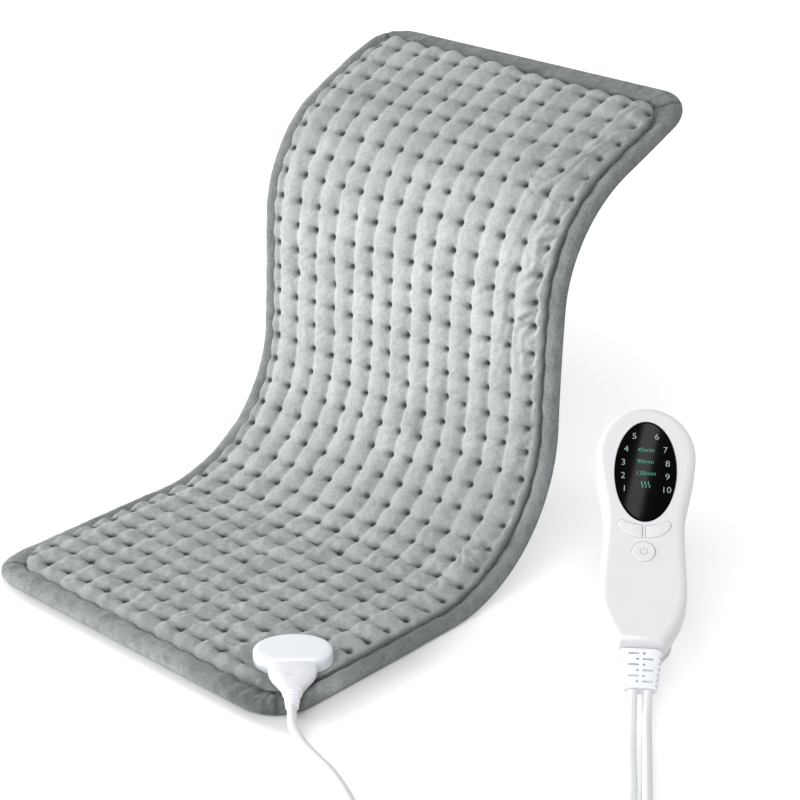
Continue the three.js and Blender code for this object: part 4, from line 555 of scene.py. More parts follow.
# The tape puckers along its upper side, dips at each corner's fold, and is fuller at the front right and on
# the left of the rise
front_end = fade_out(spot_s, 60, 40)
pucker = 0.22 * round_edge(8, 21) + 0.4 * round_edge(24, 22)
pucker += 0.35 * bell(corner - 3.2, 2.4) - 0.9 * bell(corner, 1.4)
pucker += 0.7 * round_edge(9, 26) * fade_in(spot_w, 70, 50) * front_end
pucker += 1.6 * fade_in(-spot_w, 120, 20) * fade_in(spot_s, 60, 60)
widened = tape_width(spot_w, spot_s) / TAPE
depth = reach * (1 + (widened - 1) * (up > TOP_FROM)) + 0.5 * round_edge(40, 23) * (reach > INNER_FROM)
bulge = np.clip((up - FOLD_FROM) / FOLD_RUN, 0, 1) * np.sin(np.pi * np.clip(reach / 12.5, 0, 1))
tape = on_pad(spot_w + in_w * depth, spot_s + in_s * depth, up + pucker * bulge)
index = np.arange(depth.size).reshape(depth.shape)
binding = new_piece("binding_tape", tape, quads(closed(np.vstack([index, index[:1]]))), 60)

# Painted shade: dark in the groove at its inner edge and the corners' folds, and dimmer at the front right,
# the sides and the top
shaded = (0.25 + 0.65 * fade_in(spot_w, 100, 30)) * (reach > 11) * (up > TOP_FROM) + 0.7 * bell(corner, 1.6)
shaded += (0.5 + 0.5 * (reach > INNER_FROM)) * fade_in(spot_w, 70, 60) * front_end
shaded += 0.22 * fade_in(spot_s, 560, 25) + 0.15 * ripple(spot_w + depth, spot_s - depth, 9, 24)
paint(binding, "painted_dark_shade", shaded.clip(0, 1))
dim = fade_in(spot_s, 545, 40) + fade_in(spot_w, 30, 110) * fade_out(spot_s, 45, 30)
# A faint ripple along the edge is the tape's own uneven tone
dim += 0.12 * round_edge(60, 25)
dim += (0.75 + 0.2 * np.sign(spot_w)) * fade_in(np.abs(spot_w), 120, 20) * fade_in(spot_s, 40, 60)
paint(binding, "painted_dim_shade", np.repeat(dim.clip(0, 1), len(TAPE_SECTION)))
binding.data.materials.append(
    plush("grey_brushed_polyester_tape", "A9ADAD", "868A8A", "4A4F4D", pile_mm=1.0))
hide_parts("binding")
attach(binding, "pad")


# Seam thread: spun polyester, one short stitch after another in the groove beside the tape's inner edge.
# Each stitch is a small spindle that dips into the cloth at both ends.
STITCH, STITCHES, STITCH_RINGS, STITCH_SIDES = 2.7, 500, 5, 6
THREAD_HALF, THREAD_UP, THREAD_DIP, THREAD_IN = 0.38, 6.05, 0.35, 0.9
at, spots, inward, corner = edge_path(STITCHES)
(spot_w, spot_s), (in_w, in_s) = spots.T[:, :, None, None], inward.T[:, :, None, None]
u = np.linspace(-1, 1, STITCH_RINGS)[:, None]
v = np.linspace(0, 2 * np.pi, STITCH_SIDES, endpoint=False)
thick = THREAD_HALF * np.sqrt(np.clip(1.05 - u * u, 0, None))
run = u * STITCH / 2
aside = tape_width(spot_w, spot_s) - THREAD_IN + thick * np.cos(v)
above = THREAD_UP - THREAD_DIP * u * u + thick * np.sin(v)
thread = on_pad(spot_w + in_w * aside + in_s * run, spot_s + in_s * aside - in_w * run, above)
index = np.arange(STITCHES * STITCH_RINGS * STITCH_SIDES).reshape(STITCHES, STITCH_RINGS, STITCH_SIDES)
faces = quads(closed(index)) + index[:, 0].tolist() + index[:, -1].tolist()
seam_thread = new_piece("seam_thread", thread, faces, 80)
seam_thread.data.materials.append(plush("spun_polyester_thread", "7B817F", "666C6A", "505553", pile_mm=0.5))
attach(seam_thread, "pad")


# Socket housing: a low oval cap moulded in white ABS, flat at the front, where its mouth takes the plug.
# It is screwed to its base from below, and both sit where the front cover is pressed down.
def loop_skin(name, rings, crease=40.0):
    """A closed skin through a stack of rings of equal count, with one face over each end."""
    rings = np.asarray(rings)
    index = np.arange(rings.shape[0] * rings.shape[1]).reshape(rings.shape[:2])
    faces = quads(closed(index)) + [index[0, ::-1].tolist(), index[-1].tolist()]
    return new_piece(name, rings, faces, crease)


def cut(piece, *tools, crease=32.0, how="DIFFERENCE"):
    """The piece less each tool, or with it, by an exact boolean, applied; the tools are then removed."""
    for tool in tools:
        change = piece.modifiers.new("cut", "BOOLEAN")
        change.operation, change.object, change.solver = how, tool, "EXACT"
    graph = bpy.context.evaluated_depsgraph_get()
    mesh = bpy.data.meshes.new_from_object(piece.evaluated_get(graph))
    piece.modifiers.clear()
    piece.data = mesh
    for tool in tools:
        bpy.data.objects.remove(tool)
    mesh.shade_smooth()
    mesh.set_sharp_from_angle(angle=np.radians(crease))
    return piece


def place(turn, origin):
    """A function that takes local points in mm to the frame, by a turn and an origin."""
    return lambda points: np.asarray(points) @ np.asarray(turn).T + np.asarray(origin)


def level(x, y, z):
    """A line of points x, y, all at height z."""
    return np.stack([x, y, np.full(len(x), z)], -1)


def block(x0, x1, y0, y1, z0, z1, to_frame):
    """A plain box to cut or join with, as two square rings."""
    x, y = np.array([x0, x1, x1, x0]), np.array([y0, y0, y1, y1])
    return loop_skin("tool", [to_frame(level(x, y, z0)), to_frame(level(x, y, z1))])


def moulded(name, colour, rough, texture_mm):
    """Injection-moulded plastic: an even colour with faint flow clouds, a fine spark-eroded texture from the
    mould in the bump, drawn coarser than the real tenth of a millimetre so that it shows, and roughness that
    wanders a little with handling."""
    cloud_mm = 22
    made, tree = empty_material(name)
    coords = add(tree, "ShaderNodeTexCoord")
    cloud = noise(tree, coords, cloud_mm, Detail=3.0)
    mould = noise(tree, coords, texture_mm, Detail=2.0)
    base = np.array(linear(colour))
    dull = base * [0.965, 0.965, 0.97, 1]
    tint = add(tree, "ShaderNodeMix", {0: cloud, 6: tuple(dull.tolist()), 7: tuple(base.tolist())},
               data_type="RGBA")
    worn = add(tree, "ShaderNodeMapRange", {0: cloud, "To Min": rough - 0.05, "To Max": rough + 0.07})
    bump = add(tree, "ShaderNodeBump", {"Height": mould, "Strength": 0.08, "Distance": 0.1 * MM})
    shader = add(tree, "ShaderNodeBsdfPrincipled", {
        "Base Color": (tint, 2), "Roughness": worn, "IOR": 1.53, "Normal": bump})
    add(tree, "ShaderNodeOutputMaterial", {"Surface": shader})
    return made


SOCKET_HALF, SOCKET_DEEP, SOCKET_FRONT = 25.5, 18.5, 15.5
CAP_HIGH, CAP_WALL, CAP_ROLL, CAP_ROLL_HIGH = 10.5, 2.0, 3.2, 3.4
MOUTH_HALF, MOUTH_LOW, MOUTH_HIGH, MOUTH_START, MOUTH_END = 11.2, 2.1, 8.3, -17.5, -11.5
in_socket = place([[DIAGONAL, -DIAGONAL, 0], [DIAGONAL, DIAGONAL, 0], [0, 0, 1]], [*SOCKET_AT, SOCKET_UP])


def socket_ring(d, z):
    """An ellipse cut straight across its front, set in by d, at height z."""
    around, across = 120, 24
    a, b, front = SOCKET_HALF - d, SOCKET_DEEP - d, d - SOCKET_FRONT
    start = np.arcsin(front / b)
    angle = np.linspace(start, np.pi - start, around)
    chord = np.linspace(1, -1, across + 2)[1:-1] * -a * np.cos(start)
    return level(np.append(a * np.cos(angle), chord), np.append(b * np.sin(angle), np.full(across, front)), z)


cool_abs = moulded("cool_white_moulded_abs", "F7FAFF", 0.3, texture_mm=0.7)
cap_rings = [socket_ring(0, 0), socket_ring(0, 3.5)]
cap_rings += [socket_ring(CAP_ROLL * (1 - np.cos(t)), CAP_HIGH - CAP_ROLL_HIGH * (1 - np.sin(t)))
              for t in np.linspace(0, np.pi / 2, 9)]
cap_rings += [socket_ring(5, CAP_HIGH), socket_ring(8, CAP_HIGH)]
socket_housing = loop_skin("socket_housing_cap", in_socket(cap_rings))
room_rings = [socket_ring(CAP_WALL, -1), socket_ring(CAP_WALL, CAP_HIGH - CAP_WALL)]
mouth = block(-MOUTH_HALF, MOUTH_HALF, MOUTH_START, MOUTH_END, MOUTH_LOW, MOUTH_HIGH, in_socket)
cut(socket_housing, loop_skin("tool", in_socket(room_rings)), mouth)
socket_housing.data.materials.append(cool_abs)
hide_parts("socket_housing")
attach(socket_housing, "pad")


# Plug: a flat funnel of white PVC moulded over three contacts, with a nose that enters the socket.
# A shallow oblong thumb mark is moulded in its top, and its strain relief is a grooved sleeve.
def soft_ring(width, height, y, z, power, count=72):
    """A section across y with soft corners: cosine and sine, each raised to power with its sign kept."""
    angle = (np.arange(count) + 0.5) / count * 2 * np.pi
    x, up = (np.sign(wave) * np.abs(wave) ** power for wave in (np.cos(angle), np.sin(angle)))
    return np.stack([width / 2 * x, np.full(count, y), z + height / 2 * up], -1)


PIN_UP, PIN_PITCH, PIN_BORE, BORE_START, BORE_END = 5.2, 6.5, 4.2, -11.4, -3.8
PLUG_BACK, PLUG_LENGTH, PLUG_WIDE, PLUG_HIGH, TAIL_WIDE, TAIL_HIGH = -15.8, 32.0, 31.0, 9.4, 12.5, 8.6
NOSE_PLAY, NOSE_END = 0.3, -4.8
THUMB_WIDE, THUMB_LONG, THUMB_AT, THUMB_DEEP = 2.6, 1.5, -30.5, 0.7
share = np.concatenate([[0, 0.012, 0.03], np.linspace(0.06, 0.94, 44), [0.97, 0.988, 1]])
narrow = 0.5 - 0.5 * np.cos(np.pi * np.maximum(0, (share - 0.12) / 0.88) ** 1.15)
rounded = np.minimum(1, 0.88 + 0.12 * np.sqrt(np.clip(np.minimum(share, 1 - share) / 0.03, 0, 1)))
wide = (PLUG_WIDE - (PLUG_WIDE - TAIL_WIDE) * narrow) * rounded
high = (PLUG_HIGH - (PLUG_HIGH - TAIL_HIGH) * narrow) * rounded
funnel = np.stack([soft_ring(a, b, PLUG_BACK - t * PLUG_LENGTH, PIN_UP, 0.6)
                   for a, b, t in zip(wide, high, share)])
thumb_mark = bell(funnel[..., 0], THUMB_WIDE, 4) * bell(funnel[..., 1] - THUMB_AT, THUMB_LONG, 4)
funnel[..., 2] -= THUMB_DEEP * thumb_mark * (funnel[..., 2] > PIN_UP + 2)
plug_body = loop_skin("plug_funnel", in_socket(funnel), 50)
nose_half, nose_low, nose_high = MOUTH_HALF - NOSE_PLAY, MOUTH_LOW + NOSE_PLAY, MOUTH_HIGH - NOSE_PLAY
nose = block(-nose_half, nose_half, MOUTH_START, NOSE_END, nose_low, nose_high, in_socket)
cut(plug_body, nose, how="UNION")
bores = [[soft_ring(PIN_BORE, PIN_BORE, y, PIN_UP, 1.0, 24) + [x, 0, 0] for y in (BORE_START, BORE_END)]
         for x in (-PIN_PITCH, 0, PIN_PITCH)]
cut(plug_body, *[loop_skin("tool", in_socket(bore)) for bore in bores])
white_pvc = moulded("white_overmoulded_pvc", "F3F5FA", 0.4, texture_mm=0.9)
plug_body.data.materials.append(white_pvc)
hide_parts("plug_body")
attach(plug_body, "plug")


def grooved_sleeve(name, start, length, root, tip, z, to_frame):
    """A sleeve tapering along minus y: its width falls evenly from root to tip, less four grooves of a smooth
    fourth-power bell at equal steps, with both ends rounded a little."""
    grooves, first, plain, groove_half, groove_deep, tall = 4, 2.8, 4.0, 0.72, 1.4, 0.85
    run = np.linspace(0, 1, 110)
    middles = first + (length - plain) / grooves * np.arange(grooves)
    groove = bell(run[:, None] * length - middles, groove_half, 4).sum(1)
    ends = 1 - 0.1 * bell(run * length, 0.3) - 0.1 * bell((1 - run) * length, 0.3)
    wide = (root + (tip - root) * run - groove_deep * groove) * ends
    rings = [soft_ring(a, a * tall, start - t * length, z, 0.9, 40) for a, t in zip(wide, run)]
    return loop_skin(name, to_frame(rings), 50)


plug_relief = grooved_sleeve("plug_relief_sleeve", -48.1, 16, 11, 8, PIN_UP, in_socket)
plug_relief.data.materials.append(white_pvc)
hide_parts("plug_strain_relief")
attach(plug_relief, "plug")


# Controller shells: a front and a rear half moulded in white ABS, parted at the middle and screwed together
# from behind. The front has an oval recess for the display, and two crescent holes and a round one for the
# buttons.
TIP, TONGUE = np.array([298.2, 80.4, 18.0]), 27.0
SWING, LEAN = np.radians(37.46), np.radians(32.0)
HAND_LENGTH, UPPER, UPPER_AT, NECK, NECK_AT = 175.0, 32.3, 138.3, 25.7, 85.0
LOWER, LOWER_AT, END = 27.7, 35.9, 13.5
FACE, FACE_ROLL, FACE_ROLL_HIGH, BACK, BACK_ROLL, PART, WALL = 12.0, 5.0, 5.5, -13.0, 6.0, 0.15, 2.0
PANE_HALF, PANE_TALL, PANE_AT, PANE_SEAT = 20.0, 38.0, 124.3, 10.7
POWER_AT, POWER_HALF, PLAY, HOLE_LOW, HOLE_HIGH = 64.4, 7.3, 0.3, 9.0, 13.0
swing = np.array([[np.cos(SWING), -np.sin(SWING), 0], [np.sin(SWING), np.cos(SWING), 0], [0, 0, 1]])
lean = np.array([[1, 0, 0], [0, np.cos(LEAN), -np.sin(LEAN)], [0, np.sin(LEAN), np.cos(LEAN)]])
in_hand = place(swing @ lean, TIP + swing @ lean @ [0, TONGUE, 0])


def blend(a, b, t):
    """From a to b by half a cosine wave."""
    return a + (b - a) * (0.5 - 0.5 * np.cos(np.pi * np.clip(t, 0, 1)))


def hand_ring(d, z):
    """The controller's outline set in by d: a sine out from the lower end, two cosine blends through the
    neck, and a half ellipse over the top."""
    y = np.concatenate([np.linspace(d, LOWER_AT, 26), np.linspace(LOWER_AT, UPPER_AT, 64)[1:-1]])
    low = END + (LOWER - END) * np.sin(np.pi / 2 * np.clip(y / LOWER_AT, 0, 1))
    mid = blend(LOWER, NECK, (y - LOWER_AT) / (NECK_AT - LOWER_AT))
    high = blend(NECK, UPPER, (y - NECK_AT) / (UPPER_AT - NECK_AT))
    x = np.where(y < LOWER_AT, low, np.where(y < NECK_AT, mid, high)) - d
    arc = np.linspace(0, np.pi / 2, 44)
    x = np.append(x, (UPPER - d) * np.cos(arc))
    y = np.append(y, UPPER_AT + (HAND_LENGTH - UPPER_AT - d) * np.sin(arc))
    return level(np.append(x, -x[-2::-1]), np.append(y, y[-2::-1]), z)


def oval_ring(half, tall, x, y, z, count):
    """An ellipse about x, y at height z."""
    angle = np.linspace(0, 2 * np.pi, count, endpoint=False)
    return level(x + half * np.cos(angle), y + tall * np.sin(angle), z)


def display_ring(grow, z):
    """The display's oval grown by grow."""
    return oval_ring(PANE_HALF + grow, PANE_TALL + grow, 0, PANE_AT, z, 128)


def crescent_ring(side, g, z):
    """One crescent button grown by g: straight along the middle, then three quadratic curves."""
    t = np.linspace(0, 1, 15)[:-1, None]
    start, upper = np.array([1.2 - g, 74.5 - g]), np.array([1.2 - g, 83.5 + g])
    horn, outer = np.array([14.0, 87.2 + g]), np.array([17.0 + g, 83.7])
    over_pull, horn_pull, under_pull = [7, 83.8 + g], [17.0 + g, 87.2 + g], [13.0 + g, 74.7 - g]
    curves = [(1 - t) ** 2 * a + 2 * t * (1 - t) * np.array(pull) + t ** 2 * b for a, pull, b in (
        (upper, over_pull, horn), (horn, horn_pull, outer), (outer, under_pull, start))]
    x, y = np.vstack([(1 - t) * start + t * upper, *curves]).T
    return level(side * x, y, z)


def hand_tool(*rings):
    """A skin through rings on the controller, to cut or join with."""
    return loop_skin("tool", in_hand(rings))


def hand_rod(radius, x, y, low, high, count=64):
    """A round rod square to the controller's face, to cut or join with."""
    return hand_tool(*(oval_ring(radius, radius, x, y, z, count) for z in (low, high)))


def neck_block(play, end):
    """The strain relief's neck between the shells, a flat block, grown by play and reaching in to end."""
    return block(-10 - play, 10 + play, -1, end, -4 - play, 4 + play, in_hand)


white_abs = moulded("white_moulded_abs", "E5E6E8", 0.34, texture_mm=0.7)
roll = np.linspace(0, np.pi / 2, 12)
front_rings = [hand_ring(0, PART), hand_ring(0, 3)]
front_rings += [hand_ring(FACE_ROLL * (1 - np.cos(t)), FACE - FACE_ROLL_HIGH * (1 - np.sin(t))) for t in roll]
front_rings += [hand_ring(6.5, FACE), hand_ring(8, FACE)]
front_shell = loop_skin("handset_front_half", in_hand(front_rings), 50)
cut(front_shell,
    hand_tool(hand_ring(WALL, -1), hand_ring(WALL, 6.5), hand_ring(4, 10)),
    hand_tool(display_ring(PLAY, PANE_SEAT), display_ring(PLAY, HOLE_HIGH)),
    hand_tool(display_ring(-2, HOLE_LOW), display_ring(-2, HOLE_HIGH)),
    hand_rod(POWER_HALF + PLAY, 0, POWER_AT, HOLE_LOW, HOLE_HIGH),
    hand_tool(crescent_ring(-1, PLAY, HOLE_LOW), crescent_ring(-1, PLAY, HOLE_HIGH)),
    hand_tool(crescent_ring(1, PLAY, HOLE_LOW), crescent_ring(1, PLAY, HOLE_HIGH)),
    neck_block(PLAY, 5))
front_shell.data.materials.append(white_abs)
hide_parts("handset_front_shell")
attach(front_shell, "pad")

SCREWS, BOSS_HALF, BOSS_LOW = ((0, 168), (-17, 30), (17, 30)), 3.8, -11.5
SHANK_HALF, HEAD_HALF, HEAD_SEAT = 1.5, 2.8, -10.7
rear_rings = [hand_ring(8, BACK), hand_ring(7, BACK)]
rear_rings += [hand_ring(BACK_ROLL * (1 - np.cos(t)), BACK + BACK_ROLL * (1 - np.sin(t))) for t in roll[::-1]]
rear_rings += [hand_ring(0, -3), hand_ring(0, -PART)]
rear_shell = loop_skin("handset_rear_half", in_hand(rear_rings), 50)
rear_room = hand_tool(hand_ring(4.5, -11), hand_ring(2.6, -9.5), hand_ring(WALL, -7), hand_ring(WALL, 1))
cut(rear_shell, rear_room, neck_block(PLAY, 5))
cut(rear_shell, *[hand_rod(BOSS_HALF, x, y, BOSS_LOW, -PART, 40) for x, y in SCREWS], how="UNION")
cut(rear_shell, *[hand_rod(radius, x, y, BACK - 1, top, 40)
                  for x, y in SCREWS for radius, top in ((SHANK_HALF, 1), (HEAD_HALF, HEAD_SEAT))])
rear_shell.data.materials.append(white_abs)
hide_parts("handset_rear_shell")
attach(rear_shell, "pad")


# Display: a glossy black acrylic pane let into the face, over the lamps that show the levels and the timer.
# The marks are generic: the levels 1 to 10 in two arcs, three times in minutes, and a sign for heat.
PANE_LOW, PANE_SIDE, PANE_ROLL, PANE_ROLL_HIGH, MARKS_UP = 11.0, 11.8, 0.6, 0.4, 12.24
pane_rings = [display_ring(0, PANE_LOW), display_ring(0, PANE_SIDE)]
pane_rings += [display_ring(-PANE_ROLL * (1 - np.cos(t)), PANE_SIDE + PANE_ROLL_HIGH * np.sin(t))
               for t in np.linspace(0.2, np.pi / 2, 6)]
pane_rings += [display_ring(-inset, PANE_SIDE + PANE_ROLL_HIGH) for inset in (1.5, 4.0)]
pane = loop_skin("display_pane", in_hand(pane_rings), 50)

# Cast acrylic is almost a mirror, dulled here and there by wiping
SMEAR_MM = 18
black_acrylic, tree = empty_material("black_cast_acrylic")
coords = add(tree, "ShaderNodeTexCoord")
smear = noise(tree, coords, SMEAR_MM, Detail=4.0)
wiped = add(tree, "ShaderNodeMapRange", {0: smear, "To Min": 0.02, "To Max": 0.05})
shader = add(tree, "ShaderNodeBsdfPrincipled", {
    "Base Color": linear("020203"), "Roughness": wiped, "IOR": 1.49, "Specular IOR Level": 0.028})
add(tree, "ShaderNodeOutputMaterial", {"Surface": shader})
pane.data.materials.append(black_acrylic)
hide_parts("display_window")
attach(pane, "pad")


def lamp_print(name, colour, strength):
    """Print lit from behind: an even colour that glows a little, with a faint grain of the print, drawn
    coarser than a real screen's so that it shows."""
    grain_mm = 0.6
    made, tree = empty_material(name)
    coords = add(tree, "ShaderNodeTexCoord")
    grain = noise(tree, coords, grain_mm, Detail=1.0)
    base = np.array(linear(colour))
    thin = base * [0.85, 0.85, 0.85, 1]
    tint = add(tree, "ShaderNodeMix", {0: grain, 6: tuple(thin.tolist()), 7: tuple(base.tolist())},
               data_type="RGBA")
    shader = add(tree, "ShaderNodeBsdfPrincipled", {
        "Base Color": (tint, 2), "Roughness": 0.4, "Emission Color": linear(colour),
        "Emission Strength": strength})
    add(tree, "ShaderNodeOutputMaterial", {"Surface": shader})
    return made


def lettering(name, marks, capital):
    """Words laid on the face as one mesh: each is drawn flat by the font, scaled so that its capitals are
    capital mm high, centred on its spot, given a little thickness and carried to the face. A spot is a pixel
    of the photograph, measured from the controller's middle line and lower end."""
    font_capital, thickness, thinning, middle_px, end_px, px_mm = 0.7, 0.02, -0.011, 634.8, 684, 0.56
    points, faces, count = [], [], 0
    for word, px, py in marks:
        curve = bpy.data.curves.new("mark", "FONT")
        curve.body, curve.align_x, curve.align_y, curve.resolution_u = word, "CENTER", "CENTER", 4
        curve.extrude, curve.offset = thickness, thinning
        drawn = bpy.data.objects.new("mark", curve)
        bpy.context.collection.objects.link(drawn)
        mesh = bpy.data.meshes.new_from_object(drawn.evaluated_get(bpy.context.evaluated_depsgraph_get()))
        flat = np.empty(len(mesh.vertices) * 3)
        mesh.vertices.foreach_get("co", flat)
        flat = flat.reshape(-1, 3) * [capital / font_capital, capital / font_capital, 1.0]
        points.append(flat + [(px - middle_px) * px_mm, (end_px - py) * px_mm, MARKS_UP])
        mesh.calc_loop_triangles()
        corners = np.empty(len(mesh.loop_triangles) * 3, int)
        mesh.loop_triangles.foreach_get("vertices", corners)
        faces += (corners.reshape(-1, 3) + count).tolist()
        count += len(flat)
        bpy.data.objects.remove(drawn)
    return new_piece(name, in_hand(np.vstack(points)), faces)


LEVELS_PX = [("5", 621, 415), ("6", 647, 415), ("4", 612, 433), ("7", 657, 433), ("3", 609, 451.5),
             ("8", 660, 451.5), ("2", 609, 469.5), ("9", 660, 469.5), ("1", 611, 487), ("10", 659, 487)]
TIMES_PX = [("45min", 635, 433.5), ("90min", 634.5, 449.5), ("120min", 635, 465.5)]
numerals = lettering("display_levels", LEVELS_PX, 4.6)
numerals.data.materials.append(lamp_print("white_lit_print", "9DB0A8", 0.16))
timer = lettering("display_times", TIMES_PX, 3.1)
teal_print = lamp_print("teal_lit_print", "4BA58B", 0.2)
timer.data.materials.append(teal_print)


def band(line, aside, z):
    """A flat strip along a line of points, from aside on one side to aside on the other, at height z."""
    strip = np.stack([line - aside, line + aside], -2)
    return np.concatenate([strip, np.full((*strip.shape[:-1], 1), z)], -1)


HEAT_AT, HEAT_PITCH, HEAT_HALF, HEAT_SWAY, HEAT_LINE = (0.1, 113.9), 2.2, 2.4, 0.5, 0.27
t = np.linspace(0, 1, 24)
waves = np.array([np.stack([HEAT_AT[0] + x + HEAT_SWAY * np.sin(2 * np.pi * t),
                            HEAT_AT[1] + HEAT_HALF * (2 * t - 1)], -1) for x in (-HEAT_PITCH, 0, HEAT_PITCH)])
heat_points = band(waves, [HEAT_LINE, 0], MARKS_UP)
index = np.arange(heat_points.size // 3).reshape(heat_points.shape[:3])
heat_sign = new_piece("display_heat_sign", in_hand(heat_points), quads(index))
heat_sign.data.materials.append(teal_print)
for mark in (numerals, timer, heat_sign):
    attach(mark, "pad")


# Buttons: a round one and two crescents in white ABS, half a millimetre proud of the face, on a flange that
# stops them from falling out and a spring-backed switch. The round one has a printed on and off sign.
POWER_PROFILE = ((1.9, 8.1), (2.0, 8.2), (2.0, 9.0), (8.0, 9.0), (8.1, 9.2), (8.1, 9.5), (POWER_HALF, 9.6),
                 (POWER_HALF, 12.0), (7.2, 12.25), (6.95, 12.42), (6.5, 12.5), (5.0, 12.46), (2.0, 12.42))
power_rings = [oval_ring(radius, radius, 0, POWER_AT, z, 64) for radius, z in POWER_PROFILE]
power_button = loop_skin("power_button_cap", in_hand(power_rings), 35)
power_button.data.materials.append(white_abs)
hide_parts("power_button")
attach(power_button, "power")


def stroke(line):
    """A band along a line of points, each set aside by half the sign's line width, square to the line."""
    way = unit(np.gradient(line, axis=0))
    return band(line, np.stack([-way[:, 1], way[:, 0]], -1) * SIGN_LINE / 2, SIGN_UP)


SIGN_HALF, SIGN_LINE, SIGN_UP, RING_POINTS, BAR_POINTS = 2.3, 0.5, 12.47, 40, 6
bow = np.radians(np.linspace(125, 415, RING_POINTS))
open_ring = stroke(np.stack([SIGN_HALF * np.cos(bow), POWER_AT + SIGN_HALF * np.sin(bow)], -1))
bar = stroke(np.stack([np.zeros(BAR_POINTS), POWER_AT + np.linspace(0.5, 3.0, BAR_POINTS)], -1))
index = np.arange(2 * (RING_POINTS + BAR_POINTS)).reshape(-1, 2)
power_sign = new_piece("power_sign", in_hand(np.vstack([open_ring, bar])),
                       quads(index[:RING_POINTS]) + quads(index[RING_POINTS:]))
power_sign.data.materials.append(lamp_print("grey_pad_print", "B9BCBE", 0.0))
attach(power_sign, "power")

CRESCENT_PROFILE = ((0.7, 9.0), (0.8, 9.2), (0.8, 9.5), (0.0, 9.6), (0.0, 12.1), (-0.1, 12.3), (-0.3, 12.44),
                    (-0.6, 12.5))
STEM_HALF, STEM_AT, STEM_LOW, STEM_HIGH = 2.0, (8.0, 80.35), 8.1, 9.2
for side, body in ((-1, "lower"), (1, "raise")):
    cap_rings = [crescent_ring(side, g, z) for g, z in CRESCENT_PROFILE]
    crescent = loop_skin(f"{body}_button_cap", in_hand(cap_rings), 35)
    stem = hand_rod(STEM_HALF, side * STEM_AT[0], STEM_AT[1], STEM_LOW, STEM_HIGH, 24)
    cut(crescent, stem, crease=35, how="UNION")
    crescent.data.materials.append(white_abs)
    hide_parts(f"{body}_button")
    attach(crescent, body)


# Controller's strain relief: a flat tongue of white PVC for the two leads, held by its neck between the
# shells. Staggered slots on both faces and notches in its sides let it bend.
TONGUE_START, TONGUE_LONG, TONGUE_WIDE, TONGUE_HIGH, TIP_WIDE, TIP_HIGH = -0.3, 26.7, 27.0, 10.8, 20.7, 9.2
SLOT_ROWS, SLOT_PITCH, SLOT_FIRST, NOTCH_FIRST, NOTCH_DEEP, OUT = 6, 3.8, -4.0, -5.9, 1.5, 7.0
SLOT_HALF, SLOT_FLOOR, SLOT_LONG, SLOT_SHORT, SLOT_INNER, NOTCH_HALF = 0.7, 2.4, 7.6, 2.8, 1.2, 0.65
share = np.concatenate([[0, 0.01, 0.025], np.linspace(0.05, 0.95, 16), [0.975, 0.99, 1]])
rounded = 0.92 + 0.08 * np.sqrt(np.clip(np.minimum(share, 1 - share) / 0.025, 0, 1))
wide = (TONGUE_WIDE + (TIP_WIDE - TONGUE_WIDE) * share) * rounded
high = (TONGUE_HIGH + (TIP_HIGH - TONGUE_HIGH) * share) * rounded
relief = loop_skin("handset_relief_tongue", in_hand([
    soft_ring(a, b, TONGUE_START - t * TONGUE_LONG, 0, 0.6, 96) for a, b, t in zip(wide, high, share)]), 45)
cut(relief, neck_block(0, 3.5), how="UNION")
cutters = []
for row in range(SLOT_ROWS):
    y, side = SLOT_FIRST - SLOT_PITCH * row, (-1, 1)[row % 2]
    for inner, outer in ((side * SLOT_INNER, side * SLOT_LONG), (-side * SLOT_INNER, -side * SLOT_SHORT)):
        x0, x1 = sorted((inner, outer))
        cutters += [block(x0, x1, y - SLOT_HALF, y + SLOT_HALF, z0, z1, in_hand)
                    for z0, z1 in ((SLOT_FLOOR, OUT), (-OUT, -SLOT_FLOOR))]
for row in range(SLOT_ROWS):
    y = NOTCH_FIRST - SLOT_PITCH * row
    x = (TONGUE_WIDE + (TIP_WIDE - TONGUE_WIDE) * (TONGUE_START - y) / TONGUE_LONG) / 2 - NOTCH_DEEP
    cutters += [block(x0, x1, y - NOTCH_HALF, y + NOTCH_HALF, -OUT, OUT, in_hand)
                for x0, x1 in ((x, 15), (-15, -x))]
cut(relief, *cutters)
relief.data.materials.append(white_pvc)
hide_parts("handset_strain_relief")
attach(relief, "pad")


# Pad lead: a round cable in white PVC, from the controller's tongue to the plug on the pad.
# What it has to spare is put away in a coil that winds in and out again, held by a tie.
# Both leads' lines are laid out along and beside the controller, by the rounded sine and cosine of its swing.
SWING_SIN, SWING_COS = 0.6082, 0.79378


def from_tip(points):
    """Points given along, beside and above the controller's tip, in the frame."""
    a, b, z = np.asarray(points, float).T
    x, y = TIP[0] - SWING_SIN * a + SWING_COS * b, TIP[1] + SWING_COS * a + SWING_SIN * b
    return np.stack([x, y, z], -1)


